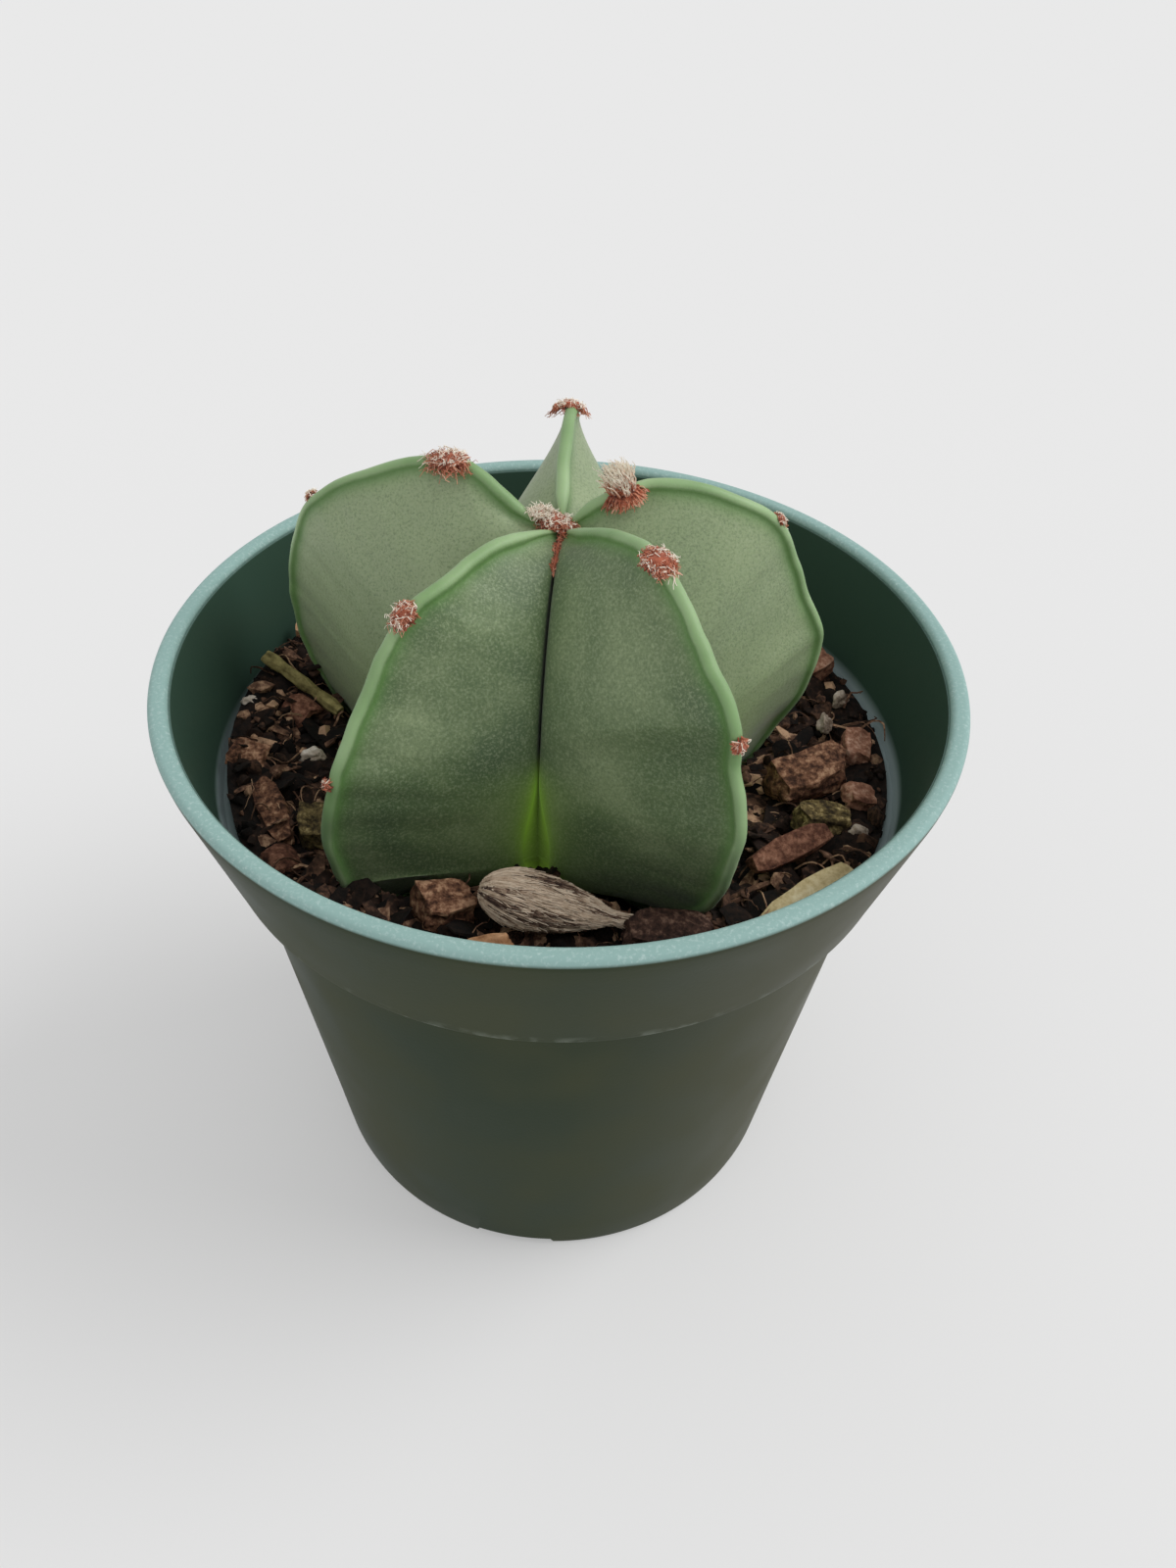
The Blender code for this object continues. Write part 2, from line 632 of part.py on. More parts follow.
def sliver_mesh(piece):
    """A split sliver: a long flat box with tapered ragged ends and a slight bow."""
    draw = random.Random(seed_of(piece.name))
    mesh = bmesh.new()
    bmesh.ops.create_cube(mesh, size=1.0)
    long_edges = [e for e in mesh.edges if abs(e.verts[0].co.x - e.verts[1].co.x) > 0.5]
    bmesh.ops.subdivide_edges(mesh, edges=long_edges, cuts=4)
    for vert in mesh.verts:
        along = abs(vert.co.x) * 2.0
        vert.co.y *= 1.0 - 0.45 * along ** 3 + draw.uniform(-0.08, 0.08)
        vert.co.z += 0.12 * (1.0 - along ** 2) + draw.uniform(-0.08, 0.08)
        vert.co.x += draw.uniform(-0.04, 0.04)
    return mesh


def grain_mesh(piece):
    """A perlite grain: a rounded lump."""
    draw = random.Random(seed_of(piece.name))
    mesh = bmesh.new()
    bmesh.ops.create_icosphere(mesh, subdivisions=2, radius=0.5)
    for vert in mesh.verts:
        vert.co *= draw.uniform(0.88, 1.04)
    return mesh


def curl_mesh(piece):
    """A curled flake of bark: a strip bent along its length, with a thin wall."""
    mesh = bmesh.new()
    bmesh.ops.create_cube(mesh, size=1.0)
    long_edges = [e for e in mesh.edges if abs(e.verts[0].co.x - e.verts[1].co.x) > 0.5]
    bmesh.ops.subdivide_edges(mesh, edges=long_edges, cuts=6)
    draw = random.Random(seed_of(piece.name))
    length, _, thick = piece.size
    bend = length / math.radians(150.0)
    for vert in mesh.verts:
        angle = vert.co.x * math.radians(150.0)
        radius = bend + vert.co.z * thick
        ragged = 1.0 + draw.uniform(-0.1, 0.1)
        vert.co.x = radius * math.sin(angle) / length
        vert.co.y *= ragged
        vert.co.z = (radius * math.cos(angle) - bend * 0.8) / thick
    return mesh


LOOSE_SHAPES = {"chunk": chunk_mesh, "sliver": sliver_mesh, "grain": grain_mesh, "curl": curl_mesh}


def make_loose(piece, parts):
    """Place one loose piece of the mix."""
    mesh = LOOSE_SHAPES[piece.kind](piece)
    turn = Euler([math.radians(angle) for angle in piece.turn]).to_matrix().to_4x4()
    for vert in mesh.verts:
        vert.co = Vector([co * size for co, size in zip(vert.co, piece.size)]) * MM
    mesh.transform(Matrix.Translation(Vector(piece.place) * MM) @ turn)
    bmesh.ops.triangulate(mesh, faces=mesh.faces)
    data = bpy.data.meshes.new(piece.name)
    mesh.to_mesh(data)
    mesh.free()
    return add_object(piece.name, data, parts, finish(piece.name, piece.colour, 0.9))


def make_twig(parts):
    """The thin twig that leans from the pot's wall down to the foot of the stem."""
    route = smooth_path(TWIG_ROUTE, TWIG_POINTS)
    curve = bpy.data.curves.new("twig", "CURVE")
    curve.dimensions = "3D"
    curve.bevel_depth = TWIG_RADIUS * MM
    curve.bevel_resolution = 2
    curve.use_fill_caps = True
    spline = curve.splines.new("POLY")
    spline.points.add(len(route) - 1)
    for index, (point, place) in enumerate(zip(spline.points, route)):
        point.co = (*(Vector(place) * MM), 1.0)
        point.radius = 1.0 + 0.18 * math.sin(2.1 * index)
    source = bpy.data.objects.new("twig_curve", curve)
    parts.objects.link(source)
    bpy.context.view_layer.update()
    graph = bpy.context.evaluated_depsgraph_get()
    mesh = bpy.data.meshes.new_from_object(source.evaluated_get(graph))
    bpy.data.objects.remove(source, do_unlink=True)
    twig = add_object("twig", mesh, parts, finish("twig", "8b8350", 0.85))
    tidy_mesh(twig)
    shade(twig)
    return twig


def make_bloom(parts):
    """The withered woolly flower: a bud with overlapping scales and a drawn-out tip.

    The radius goes as sqrt(sin) of the way along, narrowed towards the tip, and rows of
    scales stand out of it as a sawtooth along and a ripple around.
    """
    rows, around = 15, 18
    columns = []
    for side in range(around):
        angle = math.tau * side / around
        points = []
        for row in range(1, rows):
            along = row / rows
            radius = BLOOM_RADIUS * math.sin(math.pi * along ** 0.72) ** 0.62
            row_phase = (along * 5.0) % 1.0
            ripple = 1.0 + 0.09 * row_phase * (1.0 + math.cos(6 * angle + math.pi * int(along * 5.0)))
            radius *= ripple * (1.0 - 0.25 * along)
            points.append((along * BLOOM_LENGTH - BLOOM_LENGTH / 2,
                           radius * math.cos(angle), radius * math.sin(angle) * 0.9))
        columns.append(np.array([points[0]] + points))
    columns.reverse()
    bloom = loft("dried_bloom", columns, (-BLOOM_LENGTH / 2, 0, 0), (BLOOM_LENGTH / 2, 0, 0),
                 parts, finish("dried_bloom", "a89884", 0.95))
    turn = Euler([math.radians(angle) for angle in BLOOM_TURN]).to_matrix().to_4x4()
    bloom.data.transform(Matrix.Translation(Vector(BLOOM_PLACE) * MM) @ turn)
    fix_winding(bloom)
    shade(bloom, 50.0)
    return bloom


def fix_winding(obj):
    """Make an object's faces point outwards."""
    mesh = bmesh.new()
    mesh.from_mesh(obj.data)
    bmesh.ops.recalc_face_normals(mesh, faces=mesh.faces)
    mesh.to_mesh(obj.data)
    mesh.free()


def add_bed(obj, cutters):
    """Copy a piece, grown by the gap, as the bed that it presses into the soil."""
    mesh = bmesh.new()
    mesh.from_mesh(obj.data)
    mesh.normal_update()
    moves = [(vert, vert.normal * GAP * MM * min(vert.calc_shell_factor(), 2.0)) for vert in mesh.verts]
    for vert, move in moves:
        vert.co += move
    data = bpy.data.meshes.new("cut_" + obj.name)
    mesh.to_mesh(data)
    mesh.free()
    return mark_cutter(add_object("cut_" + obj.name, data, cutters))


# ---------------------------------------------------------------- soil

def soil_height(x, y):
    """Height of the mix in mm: nearly level, heaped on one side, with soft lumps."""
    radius = math.hypot(x, y)
    facing = max(0.0, math.cos(math.atan2(y, x) - math.radians(SOIL_HEAP_AZIMUTH)))
    heap = SOIL_HEAP * facing ** 3 * float(ease((radius - 24.0) / 14.0))
    lumps = math.sin(0.62 * x + 1.1) * math.cos(0.55 * y - 0.4) + 0.6 * math.sin(1.1 * y + 0.5 * x)
    edge = float(ease((radius - SOIL_FLAT_RADIUS) / (CHIP_LIMIT - SOIL_FLAT_RADIUS)))
    return (SOIL_Z + SOIL_ROUGHNESS * lumps) * (1.0 - edge) + SOIL_RIM_Z * edge + heap


def make_soil(parts, joined, cutters):
    """The potting mix: fills the pot, laps over the ledge, and has bark chips in its surface."""
    inner = WALL + GAP
    under_ledge = body_radius(LEDGE_Z + GAP) - inner
    stations = (0.0, 19.0, 24.0, 28.0, 31.5, 35.0, 38.5, 42.0, SOIL_RIM_RADIUS)
    surface = [(radius, SOIL_RIM_Z) for radius in stations]
    sides = [(SOIL_RIM_RADIUS, LEDGE_Z + GAP), (under_ledge, LEDGE_Z + GAP),
             (body_radius(FLOOR_TOP_Z + GAP) - inner, FLOOR_TOP_Z + GAP), (0.0, FLOOR_TOP_Z + GAP)]
    soil = turned("soil", surface + sides, parts, finish("potting_mix", "3b2c24", 0.95))
    bake(soil)
    for vert in soil.data.vertices:
        if vert.co.z > (SOIL_RIM_Z - 0.1) * MM:
            vert.co.z = soil_height(vert.co.x / MM, vert.co.y / MM) * MM
    triangulate(soil)
    scatter_chips(joined)
    boolean_with(soil, joined, "UNION")
    empty_collection(joined)
    boolean_with(soil, cutters, "DIFFERENCE")
    keep_largest(triangulate(soil))
    return soil


def scatter_chips(joined):
    """Small bark chips, sunk in the surface all round the stem."""
    draw = random.Random(CHIP_SEED)
    for index in range(CHIP_COUNT):
        azimuth = math.tau * (index * 0.618034 % 1.0)
        radius = 24.0 + 15.5 * math.sqrt(draw.random())
        x, y = radius * math.cos(azimuth), radius * math.sin(azimuth)
        length, width, thick = draw.uniform(3.5, 7.0), draw.uniform(1.6, 3.2), draw.uniform(0.9, 1.8)
        turn = Euler((draw.uniform(-0.4, 0.4), draw.uniform(-0.4, 0.4), draw.uniform(0, math.tau)))
        mesh = bmesh.new()
        bmesh.ops.create_cube(mesh, size=1.0)
        for vert in mesh.verts:
            ragged = draw.uniform(0.72, 1.05)
            vert.co = Vector((vert.co.x * length * ragged, vert.co.y * width * ragged,
                              vert.co.z * thick)) * MM
        place = Vector((x, y, soil_height(x, y) + 0.15 * thick)) * MM
        mesh.transform(Matrix.Translation(place) @ turn.to_matrix().to_4x4())
        furthest = max(math.hypot(v.co.x, v.co.y) for v in mesh.verts) / MM
        if furthest < CHIP_LIMIT:
            data = bpy.data.meshes.new(f"chip_{index:02d}")
            mesh.to_mesh(data)
            mark_cutter(triangulate(add_object(data.name, data, joined)))
        mesh.free()


def main():
    """Build every piece of the object."""
    clear_scene()
    parts = new_collection("potted_bishops_cap_cactus")
    cutters = new_collection("cutters")
    joined = new_collection("joined_chips")
    make_pot(parts, cutters)
    make_stem(parts)
    make_stem_cutter(cutters)
    make_tufts(parts, cutters)
    loose = [make_loose(piece, parts) for piece in LOOSE]
    loose += [make_twig(parts), make_bloom(parts)]
    for obj in loose:
        add_bed(obj, cutters)
    make_soil(parts, joined, cutters)
    empty_collection(cutters)


main()
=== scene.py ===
"""Looks of a potted bishop's cap cactus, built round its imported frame.

The frame is in metres with +Z up and the pot's foot at the origin. Sizes here are
millimetres and angles are degrees, until a mesh or a material is made.
"""
import json
import logging
import math
from dataclasses import dataclass, field
from enum import Enum, IntEnum
from functools import cached_property, partial

import bmesh
import bpy
import numpy as np
from mathutils import Matrix, Vector

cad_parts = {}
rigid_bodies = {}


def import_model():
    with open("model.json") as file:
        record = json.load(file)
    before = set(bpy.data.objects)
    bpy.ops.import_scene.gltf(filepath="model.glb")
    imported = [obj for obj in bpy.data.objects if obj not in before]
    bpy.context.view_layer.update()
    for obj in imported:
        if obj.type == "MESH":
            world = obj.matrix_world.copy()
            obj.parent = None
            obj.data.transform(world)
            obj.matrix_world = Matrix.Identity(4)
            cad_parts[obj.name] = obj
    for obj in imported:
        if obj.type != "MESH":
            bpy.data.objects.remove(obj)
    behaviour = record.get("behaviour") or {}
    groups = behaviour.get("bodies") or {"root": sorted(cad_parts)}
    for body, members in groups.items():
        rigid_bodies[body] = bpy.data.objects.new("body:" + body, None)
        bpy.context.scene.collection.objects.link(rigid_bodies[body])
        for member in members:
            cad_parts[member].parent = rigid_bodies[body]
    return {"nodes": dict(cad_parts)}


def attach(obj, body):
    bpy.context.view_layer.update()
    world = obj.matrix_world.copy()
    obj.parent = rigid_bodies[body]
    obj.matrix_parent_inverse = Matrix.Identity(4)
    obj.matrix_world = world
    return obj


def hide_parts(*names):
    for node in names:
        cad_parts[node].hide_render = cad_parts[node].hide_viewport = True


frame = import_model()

MM = 0.001
LOG = logging.getLogger("potted_cactus")
HASH_AXES = np.array([374761393, 668265263, 974634777])
HASH_STIR = 1274126177
HASH_MASK = 0xFFFFFFFF


class Pattern(IntEnum):
    """Seed of each noise, named for what it shapes or colours."""

    FELT = 3
    RIDGE_WAVER = 5
    BEAD_WIDTH = 9
    RIDGE_SCALLOP = 12
    FLANK_SWELL = 21
    FLANK_CRUMPLE = 33
    MIX_LUMPS = 41
    MIX_GRIT = 47
    MIX_TINT = 61
    CHIP_FORM = 71
    CHIP_TINT = 83
    BUD_FORM = 91
    BUD_TINT = 95
    HAIR_LOCKS = 97


# ---------------------------------------------------------------- numbers and noise

def smoothstep(value: np.ndarray) -> np.ndarray:
    """Ease from 0 to 1 with flat ends."""
    value = np.clip(value, 0.0, 1.0)
    return value * value * (3.0 - 2.0 * value)


def value_noise(points: np.ndarray, size: float, seed: int) -> np.ndarray:
    """Smooth noise from -1 to 1: hashed values on a cubic lattice, blended across each cell.

    Args:
        points: Places in mm, one row each.
        size: Edge of a lattice cell in mm.
        seed: Number that picks the pattern.

    Returns:
        One value for each point.
    """
    spot = points / size + 1000.0
    cell = np.floor(spot).astype(np.int64)
    part = smoothstep(spot - cell)
    total = np.zeros(len(points))
    for corner in range(8):
        step = np.array([corner & 1, corner >> 1 & 1, corner >> 2])
        mixed = (cell + step) @ HASH_AXES + seed * HASH_STIR & HASH_MASK
        mixed = (mixed ^ (mixed >> 13)) * HASH_STIR & HASH_MASK
        value = ((mixed ^ (mixed >> 16)) & 0xFFFF) / 32767.5 - 1.0
        total += value * np.prod(np.where(step, part, 1.0 - part), axis=1)
    return total


def layered_noise(points: np.ndarray, size: float, seed: int, layers: int = 3) -> np.ndarray:
    """Sum of noises, each half as large and half as strong as the one before."""
    return sum(value_noise(points, size / 2 ** k, seed + 17 * k) / 2 ** k for k in range(layers))


def unit(vectors: np.ndarray) -> np.ndarray:
    """Vectors along the last axis, scaled to length 1."""
    return vectors / np.maximum(np.linalg.norm(vectors, axis=-1, keepdims=True), 1e-9)


def smooth_path(points: tuple, count: int) -> np.ndarray:
    """Points at even steps along a Catmull-Rom curve.

    Args:
        points: Knots that the curve passes through, in the plane or in space.
        count: How many points to give back.

    Returns:
        The points, one row each.
    """
    knots = np.array(points, dtype=float)
    padded = np.vstack([2 * knots[0] - knots[1], knots, 2 * knots[-1] - knots[-2]])
    steps = np.linspace(0.0, 1.0, 24, endpoint=False)[:, None]
    fine = [0.5 * (2 * b + (c - a) * steps + (2 * a - 5 * b + 4 * c - d) * steps ** 2
                   + (3 * b - a - 3 * c + d) * steps ** 3)
            for a, b, c, d in zip(padded[:-3], padded[1:-2], padded[2:-1], padded[3:])]
    curve = np.vstack(fine + [knots[-1:]])
    length = np.concatenate([[0.0], np.cumsum(np.linalg.norm(np.diff(curve, axis=0), axis=1))])
    wanted = np.linspace(0.0, length[-1], count)
    return np.column_stack([np.interp(wanted, length, curve[:, k]) for k in range(knots.shape[1])])


def turns(yaw: np.ndarray, pitch: np.ndarray, roll: np.ndarray) -> np.ndarray:
    """Rotation matrices that roll about X, pitch about Y, then yaw about Z.

    Args:
        yaw: Angles in radians.
        pitch: As many angles.
        roll: As many angles.

    Returns:
        One matrix for each set of angles.
    """
    cy, sy, cp, sp, cr, sr = (f(a) for a in (yaw, pitch, roll) for f in (np.cos, np.sin))
    rows = [[cy * cp, cy * sp * sr - sy * cr, cy * sp * cr + sy * sr],
            [sy * cp, sy * sp * sr + cy * cr, sy * sp * cr - cy * sr],
            [-sp, cp * sr, cp * cr]]
    return np.moveaxis(np.array(rows), 2, 0)


# ---------------------------------------------------------------- meshes

def ring(radius: np.ndarray | float, angles: np.ndarray, height: np.ndarray | float) -> np.ndarray:
    """Points round the Z axis: radius times the cosine and sine of the angles, at a height."""
    parts = np.broadcast_arrays(radius * np.cos(angles), radius * np.sin(angles), height)
    return np.stack(parts, axis=-1)


def quad_grid(rows: int, columns: int, closed: bool) -> np.ndarray:
    """Quads between neighbouring rows and columns of a grid.

    Args:
        rows: Rows of points.
        columns: Points in a row.
        closed: Whether each row's end joins its start.

    Returns:
        Four corner numbers for each quad.
    """
    across = np.arange(columns if closed else columns - 1)
    following = (across + 1) % columns
    start = np.arange(rows - 1)[:, None] * columns
    corners = [start + across, start + columns + across, start + columns + following, start + following]
    return np.stack(corners, axis=-1).reshape(-1, 4)


def capped_grid(rows: int, around: int) -> list:
    """Faces of closed rings, and of a fan at each end to one point.

    Args:
        rows: How many rings.
        around: Points in a ring.

    Returns:
        Corner numbers of each face. The first end's point follows those of the rings, and
        then comes the last end's.
    """
    step = np.arange(around)
    following = (step + 1) % around
    first, last = np.full(around, rows * around), (rows - 1) * around
    fans = [[first, step, following], [first + 1, last + following, last + step]]
    return quad_grid(rows, around, True).tolist() + np.stack(fans).transpose(0, 2, 1).reshape(-1, 3).tolist()


@dataclass
class Piece:
    """A mesh in the making: points in mm, faces, and one value of each attribute per point."""

    name: str
    points: np.ndarray
    faces: list
    tint: np.ndarray | None = None
    zones: np.ndarray | None = None

    def build(self, material: bpy.types.Material, sharp: float = 40.0) -> bpy.types.Object:
        """Make the object, riding on the root body.

        Args:
            material: Its only material.
            sharp: Angle in degrees above which an edge stays hard.

        Returns:
            The object.
        """
        mesh = bpy.data.meshes.new(self.name)
        mesh.from_pydata((self.points * MM).tolist(), [], self.faces)
        mesh.update()
        for name, kind, key, values in (("tint", "FLOAT", "value", self.tint),
                                        ("zones", "FLOAT_COLOR", "color", self.zones)):
            if values is not None:
                layer = mesh.attributes.new(name, kind, "POINT")
                layer.data.foreach_set(key, np.ascontiguousarray(values, dtype=np.float32).ravel())
        mesh.shade_smooth()
        mesh.set_sharp_from_angle(angle=math.radians(sharp))
        mesh.materials.append(material)
        obj = bpy.data.objects.new(self.name, mesh)
        bpy.context.scene.collection.objects.link(obj)
        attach(obj, "root")
        LOG.info("%s: %d points, %d faces", self.name, len(mesh.vertices), len(mesh.polygons))
        return obj


def joined(name: str, parts: list) -> Piece:
    """Join pieces in the making into one, keeping their tints.

    Args:
        name: Name of the new piece.
        parts: The pieces.

    Returns:
        One piece in the making.
    """
    offsets = np.cumsum([0] + [len(part.points) for part in parts])
    faces = []
    for part, offset in zip(parts, offsets):
        faces += [[corner + int(offset) for corner in face] for face in part.faces]
    return Piece(name, np.vstack([part.points for part in parts]), faces,
                 np.concatenate([part.tint for part in parts]))


def tubes(name: str, paths: np.ndarray, radii: np.ndarray, tint: np.ndarray, sides: int = 3) -> Piece:
    """Thin tubes along many paths at once, closed at both ends.

    A ring of each tube is its path's point plus radius times the cosine and sine of even
    angles along two directions square to the path.

    Args:
        name: Name of the piece.
        paths: Points in mm, shaped (tubes, steps, 3).
        radii: Radius at each point, shaped (tubes, steps).
        tint: Tint at each point, shaped (tubes, steps).
        sides: Corners of a ring.

    Returns:
        All tubes as one piece in the making.
    """
    count, steps, _ = paths.shape
    along = unit(np.gradient(paths, axis=1))
    helper = np.where(np.abs(along[..., 2:3]) > 0.9, [1.0, 0.0, 0.0], [0.0, 0.0, 1.0])
    first = unit(np.cross(along, helper))
    second = np.cross(along, first)
    angles = np.arange(sides) * math.tau / sides
    rings = first[:, :, None] * np.cos(angles)[:, None] + second[:, :, None] * np.sin(angles)[:, None]
    points = paths[:, :, None] + rings * radii[:, :, None, None]
    quads = quad_grid(steps, sides, True)[:, ::-1]
    base = np.arange(count)[:, None] * steps * sides
    faces = (quads[None] + base[:, None]).reshape(-1, 4).tolist()
    faces += (base + np.arange(sides)).tolist()
    faces += (base + (steps - 1) * sides + np.arange(sides)[::-1]).tolist()
    return Piece(name, points.reshape(-1, 3), faces, np.repeat(tint.reshape(-1), sides))


# ---------------------------------------------------------------- materials

def linear(hex_colour: str) -> tuple:
    """Turn an sRGB hex colour into linear RGBA."""
    channels = (int(hex_colour[k:k + 2], 16) / 255.0 for k in (0, 2, 4))
    return (*(c / 12.92 if c <= 0.04045 else ((c + 0.055) / 1.055) ** 2.4 for c in channels), 1.0)


def per(size_mm: float) -> float:
    """Texture scale, on coordinates in metres, of a pattern of this size in mm."""
    return 1.0 / (size_mm * MM)


def feed(node: bpy.types.Node, inputs: dict) -> None:
    """Give a node's inputs their values and links.

    Args:
        node: Node to feed.
        inputs: A value, an output socket, or a node whose first active output is meant, for
            each input by name or number.
    """
    for name, value in inputs.items():
        if isinstance(value, bpy.types.Node):
            value = next(output for output in value.outputs if output.enabled)
        if isinstance(value, bpy.types.NodeSocket):
            node.id_data.links.new(value, node.inputs[name])
        else:
            node.inputs[name].default_value = value


def add_node(tree: bpy.types.NodeTree, kind: str, inputs: dict | None = None, stops: tuple = (),
             **settings) -> bpy.types.Node:
    """Add a shader node with its settings and links.

    Args:
        tree: Node tree to add it to.
        kind: Type name after "ShaderNode".
        inputs: What to feed it.
        stops: Position and hex colour of each stop, for a colour ramp.
        **settings: Properties of the node.

    Returns:
        The new node.
    """
    node = tree.nodes.new("ShaderNode" + kind)
    for name, value in settings.items():
        setattr(node, name, value)
    feed(node, inputs or {})
    while stops and len(node.color_ramp.elements) < len(stops):
        node.color_ramp.elements.new(0.5)
    for element, (position, colour) in zip(node.color_ramp.elements if stops else (), stops):
        element.position = position
        element.color = linear(colour)
    return node


def new_material(name: str, inputs: dict) -> tuple:
    """Make a material.

    Args:
        name: Its name.
        inputs: What to feed its Principled shader.

    Returns:
        The material, its shader, and add_node for its tree.
    """
    material = bpy.data.materials.new(name)
    material.use_nodes = True
    shader = material.node_tree.nodes["Principled BSDF"]
    feed(shader, inputs)
    return material, shader, partial(add_node, material.node_tree)


@dataclass(frozen=True)
class PotPlastic:
    """Injection-moulded polypropylene: deep green and satin, the lip flecked with scuffs. Painted light makes
    the lip pale as a reflection, and lightens the side towards the key and the inner wall.
    """

    body: str = "283523"
    warm: str = "3b412c"
    # Painted light: the paler, warmer colour of the side towards the key
    key_side_light: str = "504f3e"
    # Painted light: the inner wall's paler fill colour
    inside: str = "3a5145"
    # Painted reflection: the lip's pale teal
    lip: str = "93b3ae"
    lip_flecks: str = "b0c9c5"
    dust: str = "737b6f"
    # Painted highlight: the pale ring on the ledge
    ledge_highlight: str = "93a3a4"
    lip_from: float = 87.2
    lip_fade: float = 0.25
    step_at: float = 67.5
    dust_reach: float = 1.5
    # Painted highlight on the ledge: where it starts and how far it fades
    ledge_highlight_at: float = 72.4
    ledge_highlight_fade: float = 1.6
    # Painted light on the side towards the key: where it starts and ends along X
    key_side_light_x: tuple = (4.0, 44.0)
    cloud_size: float = 18.0
    dust_size: float = 2.2
    grain_size: float = 0.5
    grain_depth: float = 0.02
    roughness: float = 0.42
    specular: float = 0.07

    def build(self) -> bpy.types.Material:
        """Lay the colours over each other, most by height: body, painted light on the side towards the key,
        the inner wall's painted fill light, the lip's painted reflection with scuffs, dust, and a painted
        highlight on the ledge.

        Returns:
            The material.
        """
        material, shader, add = new_material("pot_plastic", {
            "Roughness": self.roughness, "Metallic": 0.0, "Specular IOR Level": self.specular})
        place = add("TexCoord").outputs["Object"]
        axes = add("SeparateXYZ", {0: place})
        height = axes.outputs["Z"]
        # Soft clouds: the moulding's uneven gloss and warmth
        clouds = add("TexNoise", {"Vector": place, "Scale": per(self.cloud_size), "Detail": 2.0})
        colour = add("ValToRGB", {0: clouds}, stops=((0.35, self.body), (0.7, self.warm)))
        gloss = add("MapRange", {0: clouds, 1: 0.3, 2: 0.7, 3: self.roughness - 0.05,
                                 4: self.roughness + 0.1})
        # Painted light: the side towards the key light is painted paler and warmer
        key_side_light_share = add("MapRange", {0: axes.outputs["X"], 1: self.key_side_light_x[0] * MM,
                                  2: self.key_side_light_x[1] * MM, 4: 0.85})
        # Painted light: the inner wall is painted a paler, cooler green than the outside, a fill standing in
        # for the light inside the pot
        inner = add("Attribute", attribute_name="tint").outputs["Fac"]
        outer = add("MapRange", {0: inner, 3: 1.0, 4: 0.0})
        # The lip: painted reflection makes it pale, and scuffs fleck it, drawn coarse enough to show
        flecks = add("TexNoise", {"Vector": place, "Scale": per(self.grain_size), "Detail": 3.0,
                                  "Roughness": 0.7})
        lip_reflection_and_scuffs = add("ValToRGB", {0: flecks}, stops=((0.52, self.lip), (0.72, self.lip_flecks)))
        top = add("MapRange", {0: height, 1: (self.lip_from - self.lip_fade) * MM,
                               2: (self.lip_from + self.lip_fade) * MM})
        # Lime dust: a broken line on the collar's step, on the outside only
        off_step = add("Math", {0: height, 1: self.step_at * MM}, operation="SUBTRACT")
        away = add("Math", {0: off_step}, operation="ABSOLUTE")
        line = add("MapRange", {0: away, 1: self.dust_reach * MM, 2: 0.1 * MM})
        broken = add("TexNoise", {"Vector": place, "Scale": per(self.dust_size), "Detail": 4.0})
        grains = add("MapRange", {0: broken, 1: 0.5, 2: 0.66, 4: 0.55})
        strewn = add("Math", {0: line, 1: grains}, operation="MULTIPLY")
        dust = add("Math", {0: strewn, 1: outer}, operation="MULTIPLY")
        # Painted highlight: a pale ring on the ledge beside the mix, where the ledge catches light
        low = add("MapRange", {0: height, 1: self.ledge_highlight_at * MM, 2: (self.ledge_highlight_at - self.ledge_highlight_fade) * MM})
        ledge_highlight = add("Math", {0: low, 1: inner}, operation="MULTIPLY")
        for share, coat in ((key_side_light_share, linear(self.key_side_light)), (inner, linear(self.inside)), (top, lip_reflection_and_scuffs),
                            (dust, linear(self.dust)), (ledge_highlight, linear(self.ledge_highlight))):
            colour = add("Mix", {0: share, 6: colour, 7: coat}, data_type="RGBA")
        # Mould texture: a fine grain pressed into the surface
        grain = add("TexNoise", {"Vector": place, "Scale": per(self.grain_size), "Detail": 2.0})
        bump = add("Bump", {"Height": grain, "Distance": self.grain_depth * MM, "Strength": 0.6})
        feed(shader, {"Base Color": colour, "Roughness": gloss, "Normal": bump})
        return material


